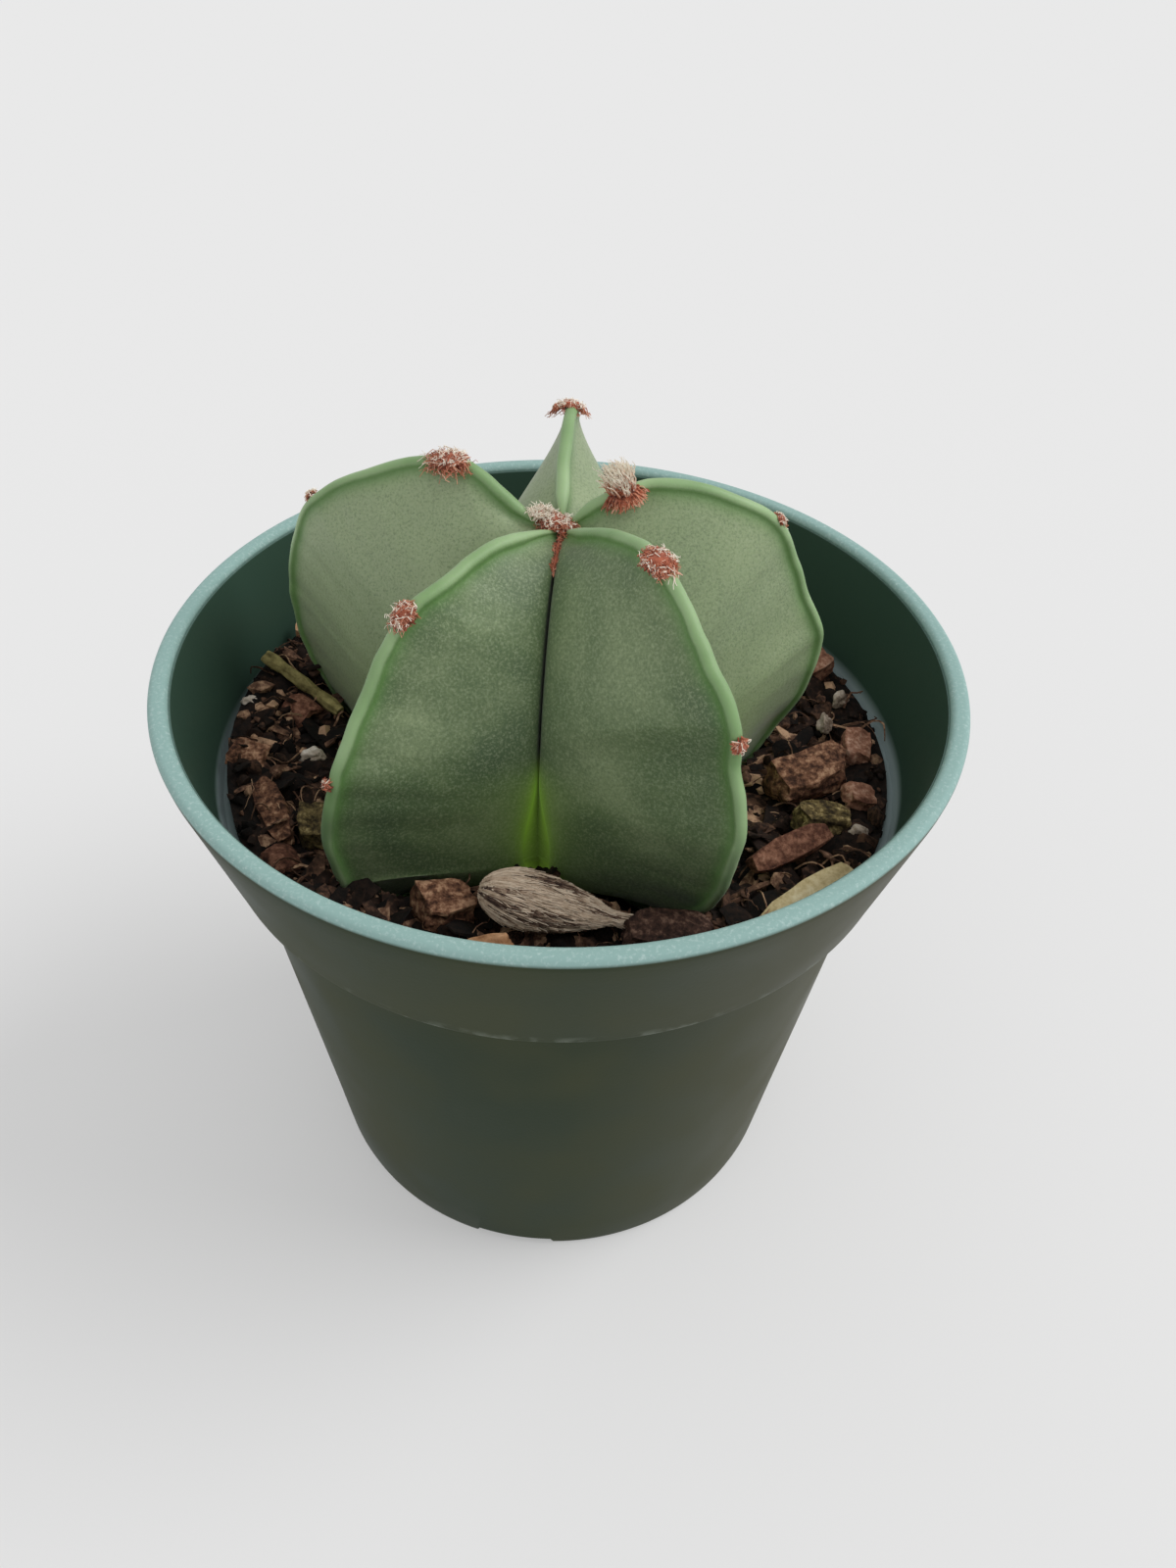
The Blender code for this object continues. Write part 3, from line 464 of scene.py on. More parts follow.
@dataclass(frozen=True)
class CactusSkin:
    """Waxy epidermis: grey-green with fine pale specks, light ridge beads, yellow-green creases. The open
    creases glow with painted light, and the tight ones are darkened with painted shade.
    """

    shade: str = "4a6040"
    flank: str = "62774f"
    bloom: str = "84956c"
    specks: str = "a6b48f"
    # The paler colour that some ribs are mixed towards
    pallor: str = "abbb91"
    bead: str = "7ea069"
    bead_pale: str = "9dba88"
    groove: str = "4f7f33"
    # The creases' yellow-green, which also glows there as painted light
    crease: str = "93c03c"
    # Painted shade: the dark at the bottom of each tight crease
    deep: str = "25371b"
    cloud_size: float = 13.0
    speck_size: float = 0.34
    speck_depth: float = 0.05
    roughness: float = 0.5

    def build(self) -> bpy.types.Material:
        """Colour the skin by its zones: red the bead, green its side, blue the crease's painted glow, alpha
        the fold's painted shade.

        Returns:
            The material.
        """
        material, shader, add = new_material("cactus_skin", {
            "Roughness": self.roughness, "Metallic": 0.0, "Sheen Weight": 0.12, "Sheen Roughness": 0.45,
            "Subsurface Weight": 0.06, "Subsurface Radius": (0.4, 0.9, 0.2),
            "Subsurface Scale": 1.2 * MM, "Emission Color": linear(self.crease)})
        place = add("TexCoord").outputs["Object"]
        zones = add("Attribute", attribute_name="zones")
        bead, side, crease = add("SeparateColor", {0: zones.outputs["Color"]}).outputs
        # Broad clouds: the farina, the wax that greys the skin, lies thicker in places
        clouds = add("TexNoise", {"Vector": place, "Scale": per(self.cloud_size), "Detail": 2.5,
                                  "Distortion": 0.4})
        colour = add("ValToRGB", {0: clouds},
                     stops=((0.3, self.shade), (0.5, self.flank), (0.72, self.bloom)))
        # Some ribs are mixed towards a paler colour than others, the three at the back most
        pallor = add("Attribute", attribute_name="tint").outputs["Fac"]
        # Wax grains and the bare pits between them, drawn coarse enough to show
        fine = add("TexNoise", {"Vector": place, "Scale": per(self.speck_size), "Detail": 2.0,
                                "Roughness": 0.75})
        speck = add("MapRange", {0: fine, 1: 0.48, 2: 0.8, 4: 0.7})
        pits = add("MapRange", {0: fine, 1: 0.48, 2: 0.3, 4: 0.42})
        beads = add("ValToRGB", {0: clouds}, stops=((0.4, self.bead), (0.65, self.bead_pale)))
        # Last in the stack comes the painted shade of the folds, by the zones' alpha
        for share, coat in ((pallor, linear(self.pallor)), (speck, linear(self.specks)),
                            (pits, linear(self.shade)), (side, linear(self.groove)), (bead, beads),
                            (crease, linear(self.crease)), (zones.outputs["Alpha"], linear(self.deep))):
            colour = add("Mix", {0: share, 6: colour, 7: coat}, data_type="RGBA")
        # Painted light: the open creases glow by emission in yellow-green, as if the thin tissue there passed
        # light
        shining = add("Math", {0: crease, 1: 0.14}, operation="MULTIPLY")
        bump = add("Bump", {"Height": fine, "Distance": self.speck_depth * MM, "Strength": 0.7})
        feed(shader, {"Base Color": colour, "Emission Strength": shining, "Normal": bump})
        return material


class Tone(Enum):
    """Dark, middle, pale and lightest colour of a rough natural finish, by its tint."""

    MIX = ("0d0907", "2b1d16", "6f5140", "c8a282")
    BROWN = ("1a0f0b", "4a3024", "835c46", "bb9375")
    PINK = ("2c1913", "6b4536", "a0725c", "d4ac95")
    PALE = ("5d3f2a", "a87a56", "cfa079", "ecccab")
    DARK = ("0f0a09", "2b1c17", "4a342b", "7d6253")
    STRAW = ("6b5838", "b59f72", "d8c598", "efe2c0")
    TWIG = ("3a3519", "80764a", "a89c66", "cdbf8c")
    MOSS = ("19130d", "453a25", "7c6b45", "cfba86")
    GRAINS = ("6f5f50", "b3a393", "d6cabd", "f1eae2")
    WOOL = ("5a2014", "b8664a", "dd9c7e", "faf2e2")
    BLOOM = ("30211e", "7d6454", "bfa78f", "e2d0ba")


@dataclass(frozen=True)
class Rough:
    """A matt natural finish such as bark, straw, wool or grit, mottled about each point's tint.

    The grain is the mottle's size in mm, the mottle its strength, and the bump its depth in mm.
    """

    name: str
    tone: Tone
    grain: float
    mottle: float
    bump: float
    sheen: float = 0.0
    roughness: float = 0.88
    specular: float = 0.25
    stops: tuple = (0.05, 0.38, 0.68, 0.97)

    def build(self) -> bpy.types.Material:
        """Ramp through the tone by tint plus noise.

        Returns:
            The material.
        """
        material, shader, add = new_material(self.name, {
            "Roughness": self.roughness, "Metallic": 0.0, "Sheen Weight": self.sheen,
            "Specular IOR Level": self.specular})
        place = add("TexCoord").outputs["Object"]
        tint = add("Attribute", attribute_name="tint").outputs["Fac"]
        grain = add("TexNoise", {"Vector": place, "Scale": per(self.grain), "Detail": 4.0,
                                 "Roughness": 0.65})
        spread = add("MapRange", {0: grain, 1: 0.3, 2: 0.7, 3: -self.mottle, 4: self.mottle})
        level = add("Math", {0: tint, 1: spread}, operation="ADD", use_clamp=True)
        ramp = add("ValToRGB", {0: level}, stops=tuple(zip(self.stops, self.tone.value)))
        bump = add("Bump", {"Height": grain, "Distance": self.bump * MM, "Strength": 0.8})
        feed(shader, {"Base Color": ramp, "Normal": bump})
        return material


# ---------------------------------------------------------------- pot

@dataclass
class PotShell:
    """The nursery pot as one fine turned shell with its foot notches and drain holes cut."""

    height: float = 88.0
    rim_radius: float = 52.5
    lip_width: float = 2.5
    lip_round: float = 0.9
    collar_foot_z: float = 67.2
    collar_foot_radius: float = 47.3
    body_top_radius: float = 44.7
    foot_radius: float = 36.8
    wall: float = 1.4
    ledge_z: float = 70.2
    ledge_radius: float = 46.6
    foot_width: float = 4.0
    floor_under: float = 2.2
    floor_top: float = 3.7
    notch_azimuth: float = 263.0
    notch_size: tuple = (16.0, 13.4, 1.8)
    notch_narrowing: float = 0.84
    drain_radius: float = 3.2
    drain_circle: float = 21.0
    flow_waves: int = 3
    flow_depth: float = 0.042
    around: int = 288
    sharp: float = 35.0
    replaced: str = "pot"

    def body_radius(self, height: float) -> float:
        """Outer radius of the tapered body at a height."""
        return self.foot_radius + (self.body_top_radius - self.foot_radius) * height / self.collar_foot_z

    @staticmethod
    def arc(centre: tuple, radius: float, start: float, end: float, count: int) -> list:
        """Points on a circular arc in the (radius, height) plane."""
        angles = np.radians(np.linspace(start, end, count))
        return [(centre[0] + radius * math.cos(a), centre[1] + radius * math.sin(a)) for a in angles]

    def inside(self) -> list:
        """Profile from the floor up the inner wall, over the ledge, to just below the lip.

        Returns:
            Points as (radius, height).
        """
        floor, ledge = self.floor_top, self.ledge_z
        line = [(self.body_radius(floor) - self.wall - 1.0, floor),
                (self.body_radius(floor + 1.0) - self.wall, floor + 1.0)]
        line += [(self.body_radius(z) - self.wall, z) for z in np.linspace(10, ledge - 0.3, 8)]
        line += [(self.body_radius(ledge) - self.wall + 0.3, ledge), (self.ledge_radius - 0.5, ledge),
                 (self.ledge_radius, ledge + 0.5)]
        lean = self.rim_radius - self.lip_width - self.ledge_radius
        return line + [(self.ledge_radius + lean * t, ledge + (self.height - ledge) * t)
                       for t in np.linspace(0.15, 0.95, 5)]

    def lip(self) -> list:
        """Profile of the lip, rounded on both sides."""
        inner = (self.rim_radius - self.lip_width + self.lip_round, self.height - self.lip_round)
        outer = (self.rim_radius - self.lip_round, self.height - self.lip_round)
        return self.arc(inner, self.lip_round, 180, 90, 7) + self.arc(outer, self.lip_round, 90, 0, 7)

    def outside(self) -> list:
        """Profile from below the lip down the collar, its step, the body and the foot, to the underside.

        Returns:
            Points as (radius, height).
        """
        top, step = self.height - self.lip_round - 0.3, self.collar_foot_z
        line = [(self.rim_radius + (self.collar_foot_radius - self.rim_radius) * t,
                 top + (step + 0.6 - top) * t) for t in np.linspace(0.04, 0.96, 8)]
        line += self.arc((self.collar_foot_radius - 0.5, step + 0.5), 0.5, 0, -90, 4)
        line += [(self.body_top_radius + 0.5, step), (self.body_top_radius, step - 0.5)]
        line += [(self.body_radius(z), z) for z in np.linspace(60, 1.6, 12)]
        line += self.arc((self.foot_radius - 0.9, 0.9), 0.9, 0, -90, 5)
        inner = self.foot_radius - self.foot_width
        return line + [(inner, 0.0), (inner - 0.5, self.floor_under)]

    def turned(self) -> Piece:
        """The profile turned round the axis: radius times cosine and sine, with shallow flow waves.

        Returns:
            The shell before its foot is cut, with a tint of 1 on its inner side.
        """
        line = np.array(self.inside() + self.lip() + self.outside())
        radius, height = line[:, :1], line[:, 1:]
        angles = np.linspace(0.0, math.tau, self.around, endpoint=False)
        upper = smoothstep((height - 5.0) / 10.0)
        waves = self.flow_depth * np.sin(self.flow_waves * angles + height * 0.02) * upper
        grid = ring(np.minimum(radius + waves, self.rim_radius), angles, height)
        ends = [[0.0, 0.0, self.floor_top], [0.0, 0.0, self.floor_under]]
        inner = (np.arange(len(line)) <= int(np.argmax(line[:, 1]))).astype(float)
        return Piece("pot_shell", np.vstack([grid.reshape(-1, 3), ends]),
                     capped_grid(len(line), self.around),
                     np.concatenate([np.repeat(inner, self.around), [1.0, 0.0]]))

    def drain(self, azimuth: float, circle: float) -> bpy.types.Object:
        """A cylinder for the drain hole at an azimuth in radians on a circle."""
        bpy.ops.mesh.primitive_cylinder_add(vertices=32, radius=self.drain_radius * MM, depth=8 * MM)
        drain = bpy.context.active_object
        drain.location = (circle * math.cos(azimuth) * MM, circle * math.sin(azimuth) * MM,
                          self.floor_top * MM)
        return drain

    def notch(self, azimuth: float) -> bpy.types.Object:
        """A box, narrower at its top, for the notch at an azimuth in radians."""
        bpy.ops.mesh.primitive_cube_add(size=1.0)
        notch = bpy.context.active_object
        for vert in notch.data.vertices:
            narrow = 1.0 if vert.co.z < 0 else self.notch_narrowing
            vert.co = Vector((vert.co.x * self.notch_size[0], vert.co.y * self.notch_size[1] * narrow,
                              vert.co.z * 2.0 * self.notch_size[2])) * MM
        notch.matrix_world = (Matrix.Rotation(azimuth, 4, "Z")
                              @ Matrix.Translation((self.foot_radius * MM, 0.0, 0.0)))
        return notch

    def cutters(self) -> list:
        """Make what is cut out of the foot: four notches, a drain hole behind each, and one in the middle.

        Returns:
            The objects.
        """
        made = []
        for azimuth in (math.radians(self.notch_azimuth + 90.0 * index) for index in range(4)):
            made += [self.drain(azimuth, self.drain_circle), self.notch(azimuth)]
        return made + [self.drain(0.0, 0.0)]

    def cut(self, pot: bpy.types.Object) -> None:
        """Cut the notches and holes out of the pot, and clear the cutters away.

        Args:
            pot: The turned shell, whose mesh is replaced.
        """
        holder = bpy.data.collections.new("pot_cutters")
        bpy.context.scene.collection.children.link(holder)
        for cutter in self.cutters():
            for other in list(cutter.users_collection):
                other.objects.unlink(cutter)
            holder.objects.link(cutter)
        boolean = pot.modifiers.new("Foot", "BOOLEAN")
        boolean.operand_type = "COLLECTION"
        boolean.collection = holder
        boolean.solver = "EXACT"
        bpy.context.view_layer.update()
        graph = bpy.context.evaluated_depsgraph_get()
        mesh = bpy.data.meshes.new_from_object(pot.evaluated_get(graph))
        pot.modifiers.clear()
        pot.data = mesh
        mesh.set_sharp_from_angle(angle=math.radians(self.sharp))
        for cutter in list(holder.objects):
            bpy.data.objects.remove(cutter, do_unlink=True)
        bpy.data.collections.remove(holder)

    def build(self, material: bpy.types.Material) -> bpy.types.Object:
        """Turn the pot, cut its foot, and let it stand for its node."""
        pot = self.turned().build(material, self.sharp)
        self.cut(pot)
        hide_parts(self.replaced)
        return pot


# ---------------------------------------------------------------- stem

@dataclass(frozen=True)
class Rib:
    """One rib: azimuth, ridge as (radius, height) from the crown to the soil, and how it varies.

    The sway is how far the ridge strays sideways, in as many waves. The pallor is its share of a paler colour
    in the skin, and the fullness scales the angle at which the flanks leave the bead.
    """

    azimuth: float
    ridge: tuple
    sway: float
    waves: float
    pallor: float
    fullness: float = 1.0


RIBS = (
    Rib(10.0, ((4, 110.0), (12, 112.3), (20, 110.6), (28, 105.6), (33, 95), (36, 88),
               (34.6, 79), (30.5, 69.6)), 0.5, 2.2, 0.52),
    Rib(90.0, ((4, 109.0), (12, 112.0), (20.5, 112.6), (28, 108.0), (34, 101), (38, 90),
               (37.5, 80), (33.5, 69.6)), 0.45, 1.7, 0.55, 0.25),
    Rib(160.5, ((4, 107.4), (12, 112.3), (20, 111.2), (31, 106.0), (36.5, 101), (40.6, 90),
                (40.4, 80), (35.5, 69.6)), 0.5, 1.9, 0.64),
    Rib(227.0, ((4, 107.6), (11, 108.9), (19, 107.6), (24.2, 105.6), (30.5, 98), (37, 88.8),
                (39.0, 79), (37.6, 69.6)), 0.4, 2.6, 0.0),
    Rib(303.5, ((5, 109.0), (12, 112.2), (20, 113.0), (29, 108.7), (36.6, 102), (37.2, 95.6),
                (39.8, 88), (38.6, 77), (34.8, 69.6)), 0.4, 2.4, 0.04),
)


@dataclass
class Ridge:
    """A rib's ridge, one row for each level, and what its flanks start from.

    The line is where it would run without sway, and calm are its normals smoothed. The bead is
    the bead's radius, the reach is how far the crease lies off, and the lean is the angle in
    radians at which the flanks leave.
    """

    index: int
    line: np.ndarray
    points: np.ndarray
    normal: np.ndarray
    calm: np.ndarray
    sideways: np.ndarray
    bead: np.ndarray
    reach: np.ndarray
    lean: float


@dataclass
class RibbedStem:
    """The plant body: five ribs lofted from the crown to the root, one closed skin."""

    crown: tuple = (-0.5, -0.5)
    crown_z: float = 106.0
    soil_z: float = 69.6
    root_z: float = 56.0
    root_radius: float = 9.0
    crease_radius: float = 20.6
    crease_power: float = 2.25
    bead_radius: float = 0.86
    flank_angle: float = 29.0
    crease_round: float = 2.8
    crease_depth: float = 2.4
    waver: float = 0.16
    scallop: float = 0.36
    swell: float = 0.28
    crumple: float = 0.34
    levels: int = 200
    roots: int = 10
    flank_steps: int = 20
    bead_depths: tuple = (0.06, 0.24, 0.52, 0.84, 1.12, 1.38)
    bead_sides: tuple = (0.36, 0.68, 0.9, 0.98, 0.95, 0.9)
    replaced: str = "cactus_stem"
    soil_rings: list = field(default_factory=list)

    @staticmethod
    def outward(path: np.ndarray) -> np.ndarray:
        """Unit normals of a (radius, height) path that runs outwards and down."""
        tangent = np.gradient(path, axis=0)
        return unit(np.column_stack([-tangent[:, 1], tangent[:, 0]]))

    @staticmethod
    def calmed(normals: np.ndarray) -> np.ndarray:
        """Normals averaged over 41 neighbours, so that a flank doesn't fold where its ridge turns."""
        window = np.hanning(43)[1:-1]
        padded = np.pad(normals, ((20, 20), (0, 0)), mode="edge")
        return unit(np.column_stack([np.convolve(padded[:, k], window, "valid") for k in range(3)]))

    @staticmethod
    def in_plane(azimuth: float, path: np.ndarray) -> np.ndarray:
        """Place (radius, height) values in the upright plane of an azimuth in radians."""
        return np.column_stack([path[:, 0] * math.cos(azimuth), path[:, 0] * math.sin(azimuth), path[:, 1]])

    @staticmethod
    def wall(index: int, side: int) -> float:
        """Azimuth in radians of the crease on one side of a rib, halfway to the next rib."""
        gap = side * (RIBS[(index + side) % len(RIBS)].azimuth - RIBS[index].azimuth) % 360.0
        return math.radians(RIBS[index].azimuth + side * gap / 2)

    def zone(self, *values) -> np.ndarray:
        """Share of bead, side, the crease's painted glow and the fold's painted shade in one column, each a
        number or one for each level.
        """
        return np.column_stack([np.broadcast_to(value, self.progress.shape) for value in values])

    @cached_property
    def centre(self) -> np.ndarray:
        """The axis that the ribs meet on."""
        return np.array([*self.crown, 0.0])

    @cached_property
    def progress(self) -> np.ndarray:
        """How far down each level is: 0 at the crown, 1 at the soil, back to 0 at the root's end."""
        return np.concatenate([np.linspace(0, 1, self.levels), np.linspace(1, 0, self.roots + 1)[1:]])

    @cached_property
    def lower(self) -> np.ndarray:
        """Share of each level that belongs to the lower part, where the creases stand open."""
        return smoothstep((self.progress - 0.62) / 0.14)

    @cached_property
    def crease(self) -> np.ndarray:
        """The bottom of a crease: a superellipse of (radius, height) to the soil, then the root."""
        angles = np.linspace(0.0, 0.5 * math.pi, 60)
        across = self.crease_radius * np.sin(angles) ** (2.0 / self.crease_power)
        rise = self.soil_z + (self.crown_z - 0.4 - self.soil_z) * np.cos(angles) ** (2.0 / self.crease_power)
        above = smooth_path(tuple(map(tuple, np.column_stack([across, rise]))), self.levels)
        return np.vstack([above, self.root(above[-1])])

    def root(self, foot: np.ndarray) -> np.ndarray:
        """From a foot at the soil down to the root's end."""
        return smooth_path((foot, (foot[0] * 0.86, self.soil_z - 5.5), (foot[0] * 0.52, self.root_z + 2.0),
                            (self.root_radius, self.root_z)), self.roots + 1)[1:]

    def ridge_path(self, rib: Rib) -> np.ndarray:
        """The ridge as (radius, height), with even steps to the soil."""
        above = smooth_path(((0.0, self.crown_z),) + rib.ridge, self.levels)
        return np.vstack([above, self.root(above[-1])])

    def ridge(self, index: int) -> Ridge:
        """Work out a rib's ridge, which sways, wavers and is scalloped by soft noise.

        Args:
            index: Which rib.

        Returns:
            The ridge.
        """
        rib = RIBS[index]
        azimuth = math.radians(rib.azimuth)
        path = self.ridge_path(rib)
        normal = self.in_plane(azimuth, self.outward(path))
        sideways = np.array([-math.sin(azimuth), math.cos(azimuth), 0.0])
        sway = rib.sway * np.sin(math.tau * rib.waves * self.progress + index) * smoothstep(self.progress * 4)
        line = self.centre + self.in_plane(azimuth, path)
        waver = (self.waver * layered_noise(line + 31 * index, 3.2, Pattern.RIDGE_WAVER, 2)
                 * smoothstep(self.progress * 6))
        scallop = ((1.0 + value_noise(line + 90, 3.6, Pattern.RIDGE_SCALLOP))
                   * smoothstep((self.progress - 0.3) / 0.35))
        points = line + (sway + waver)[:, None] * sideways
        points = points - normal * (scallop * self.scallop)[:, None]
        reach = np.linalg.norm(path - self.crease, axis=1)
        bead = np.minimum(self.bead_radius, 0.22 * reach + 0.05)
        bead = (bead * (1.0 + 0.1 * value_noise(line + 7, 4.0, Pattern.BEAD_WIDTH)))[:, None]
        return Ridge(index, line, points, normal, self.calmed(normal), sideways, bead, reach,
                     math.radians(self.flank_angle * rib.fullness))

    def flank(self, ridge: Ridge, side: int) -> tuple:
        """Work out one side of a rib.

        The skin goes round the bead, then follows a cubic curve that leaves it at the flank
        angle, swells, crumples near the ridge, and turns into the crease.

        Args:
            ridge: The rib's ridge.
            side: 1 for the side of growing azimuth, or else -1.

        Returns:
            Points of each column from the bead to the crease's mouth, their zones, and the
            points of the crease's bottom.
        """
        wall = self.wall(ridge.index, side)
        across = np.array([-math.sin(wall), math.cos(wall), 0.0])
        outward = self.in_plane(wall, self.outward(self.crease))
        deep = self.centre + self.in_plane(wall, self.crease)
        tight = (np.minimum(self.crease_depth, 0.3 * self.crease[:, 0]) * (1 - 0.55 * self.lower))[:, None]
        opening = 0.15 + 1.5 * smoothstep((self.progress - 0.7) / 0.26)
        mouth = deep - side * across * np.minimum(opening, 0.08 * self.crease[:, 0])[:, None]
        fading = self.lower * (1.0 - 0.45 * smoothstep((self.progress - 0.84) / 0.16))
        points, zones = [], []
        for drop, out in zip(self.bead_depths, self.bead_sides):
            points.append(ridge.points - ridge.normal * ridge.bead * drop
                          + side * ridge.sideways * ridge.bead * out)
            turned = smoothstep((drop - 0.4) / 0.6)
            zones.append(self.zone(1.0 - 0.8 * turned, 0.8 * turned, 0.0, 0.0))
        shoulder = points[-1]
        leaving = side * ridge.sideways * math.sin(ridge.lean) - ridge.calm * math.cos(ridge.lean)
        turning = outward * np.minimum(self.crease_round, 0.22 * ridge.reach)[:, None]
        a, b, c, d = shoulder, shoulder + leaving * (0.34 * ridge.reach[:, None]), mouth + turning, mouth
        for step in (np.arange(1, self.flank_steps + 1) / (self.flank_steps + 1.0)) ** 1.15:
            rest = 1.0 - step
            point = rest ** 3 * a + 3 * rest ** 2 * step * b + 3 * rest * step ** 2 * c + step ** 3 * d
            swell = self.swell * value_noise(point + 50, 9.0, Pattern.FLANK_SWELL) * 4.0 * step * rest
            crumple = (self.crumple
                       * value_noise(ridge.line + 13 * side, 3.4, Pattern.FLANK_CRUMPLE + ridge.index)
                       * math.exp(-((step - 0.1) / 0.16) ** 2) * smoothstep((self.progress - 0.35) / 0.3))
            points.append(point + side * ridge.sideways * (swell + crumple)[:, None])
            depth = np.linalg.norm(point - shoulder, axis=1)
            to_mouth = np.linalg.norm(point - mouth, axis=1)
            # Painted light: the crease's glow, strongest at its mouth and spreading onto the flank where it
            # stands open
            glow = (0.9 * np.exp(-to_mouth / 1.1) + 0.22 * np.exp(-to_mouth / 4.5)) * fading
            beaded, sided = 0.2 * np.exp(-depth / 0.5), 0.75 * np.exp(-(depth / 0.9) ** 1.4)
            zones.append(self.zone(beaded, sided, glow, 0.0))
        points.append(mouth)
        # The mouth: painted glow, and painted shade where the crease is tight
        zones.append(self.zone(0.0, 0.0, fading, 0.4 * (1.0 - self.lower)))
        return points, zones, deep - outward * tight

    def loft(self) -> tuple:
        """Work out the skin's grid, rib by rib: one flank, the ridge, the other flank, the crease.

        Returns:
            Points shaped (levels, around, 3), their zones shaped (levels, around, 4), and their pallor, the
            share of the paler colour, shaped (levels, around).
        """
        columns, zones, pallor = [], [], []
        for index, rib in enumerate(RIBS):
            ridge = self.ridge(index)
            near, near_zones, _ = self.flank(ridge, -1)
            far, far_zones, bottom = self.flank(ridge, 1)
            columns += near[::-1] + [ridge.points] + far + [bottom]
            zones += near_zones[::-1] + [self.zone(1.0, 0.0, 0.0, 0.0)] + far_zones
            # The crease's bottom: painted glow where it stands open, painted shade where it is tight
            zones.append(self.zone(0.0, 0.0, 0.35 * self.lower, 1.0 - 0.4 * self.lower))
            pallor += [np.full(len(self.progress), rib.pallor)] * (len(columns) - len(pallor))
        return tuple(np.stack(part, axis=1)[1:] for part in (columns, zones, pallor))

    def build(self, material: bpy.types.Material) -> bpy.types.Object:
        """Skin the grid, closed by a point at the crown and one under the root.

        Args:
            material: The skin's.

        Returns:
            The stem, which stands for its node.
        """
        grid, zones, pallor = self.loft()
        ends = [[*self.crown, self.crown_z], [*self.crown, self.root_z]]
        self.soil_rings = [grid[self.levels - 2], grid[self.levels - 8]]
        stem = Piece("stem_skin", np.vstack([grid.reshape(-1, 3), ends]), capped_grid(*grid.shape[:2]),
                     np.append(pallor.reshape(-1), [0.0, 0.0]),
                     np.vstack([zones.reshape(-1, 4), np.zeros((2, 4))])).build(material, 70.0)
        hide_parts(self.replaced)
        return stem

    def outline(self, azimuths: np.ndarray) -> np.ndarray:
        """Find how wide the stem is near the soil.

        Args:
            azimuths: Directions in radians.

        Returns:
            The stem's furthest radius in each direction.
        """
        wide = np.zeros_like(azimuths)
        for level in self.soil_rings:
            angle = np.arctan2(level[:, 1], level[:, 0])
            radius = np.hypot(level[:, 0], level[:, 1])
            order = np.argsort(angle)
            wide = np.maximum(wide, np.interp(azimuths, angle[order], radius[order], period=math.tau))
        return wide

    def areole(self, rib_index: int, near: tuple) -> tuple:
        """Find a place on a ridge.

        Args:
            rib_index: Which rib.
            near: Radius and height that the place is nearest to.

        Returns:
            The place, with its outward and its downhill direction.
        """
        azimuth = math.radians(RIBS[rib_index].azimuth)
        path = self.ridge_path(RIBS[rib_index])
        nearest = int(np.argmin(np.linalg.norm(path - np.array(near), axis=1)))
        place = self.in_plane(azimuth, path)[nearest] + self.centre
        normal = self.in_plane(azimuth, self.outward(path))[nearest]
        tangent = unit(self.in_plane(azimuth, np.gradient(path, axis=0)))[nearest]
        return place, normal, tangent


# ---------------------------------------------------------------- wool

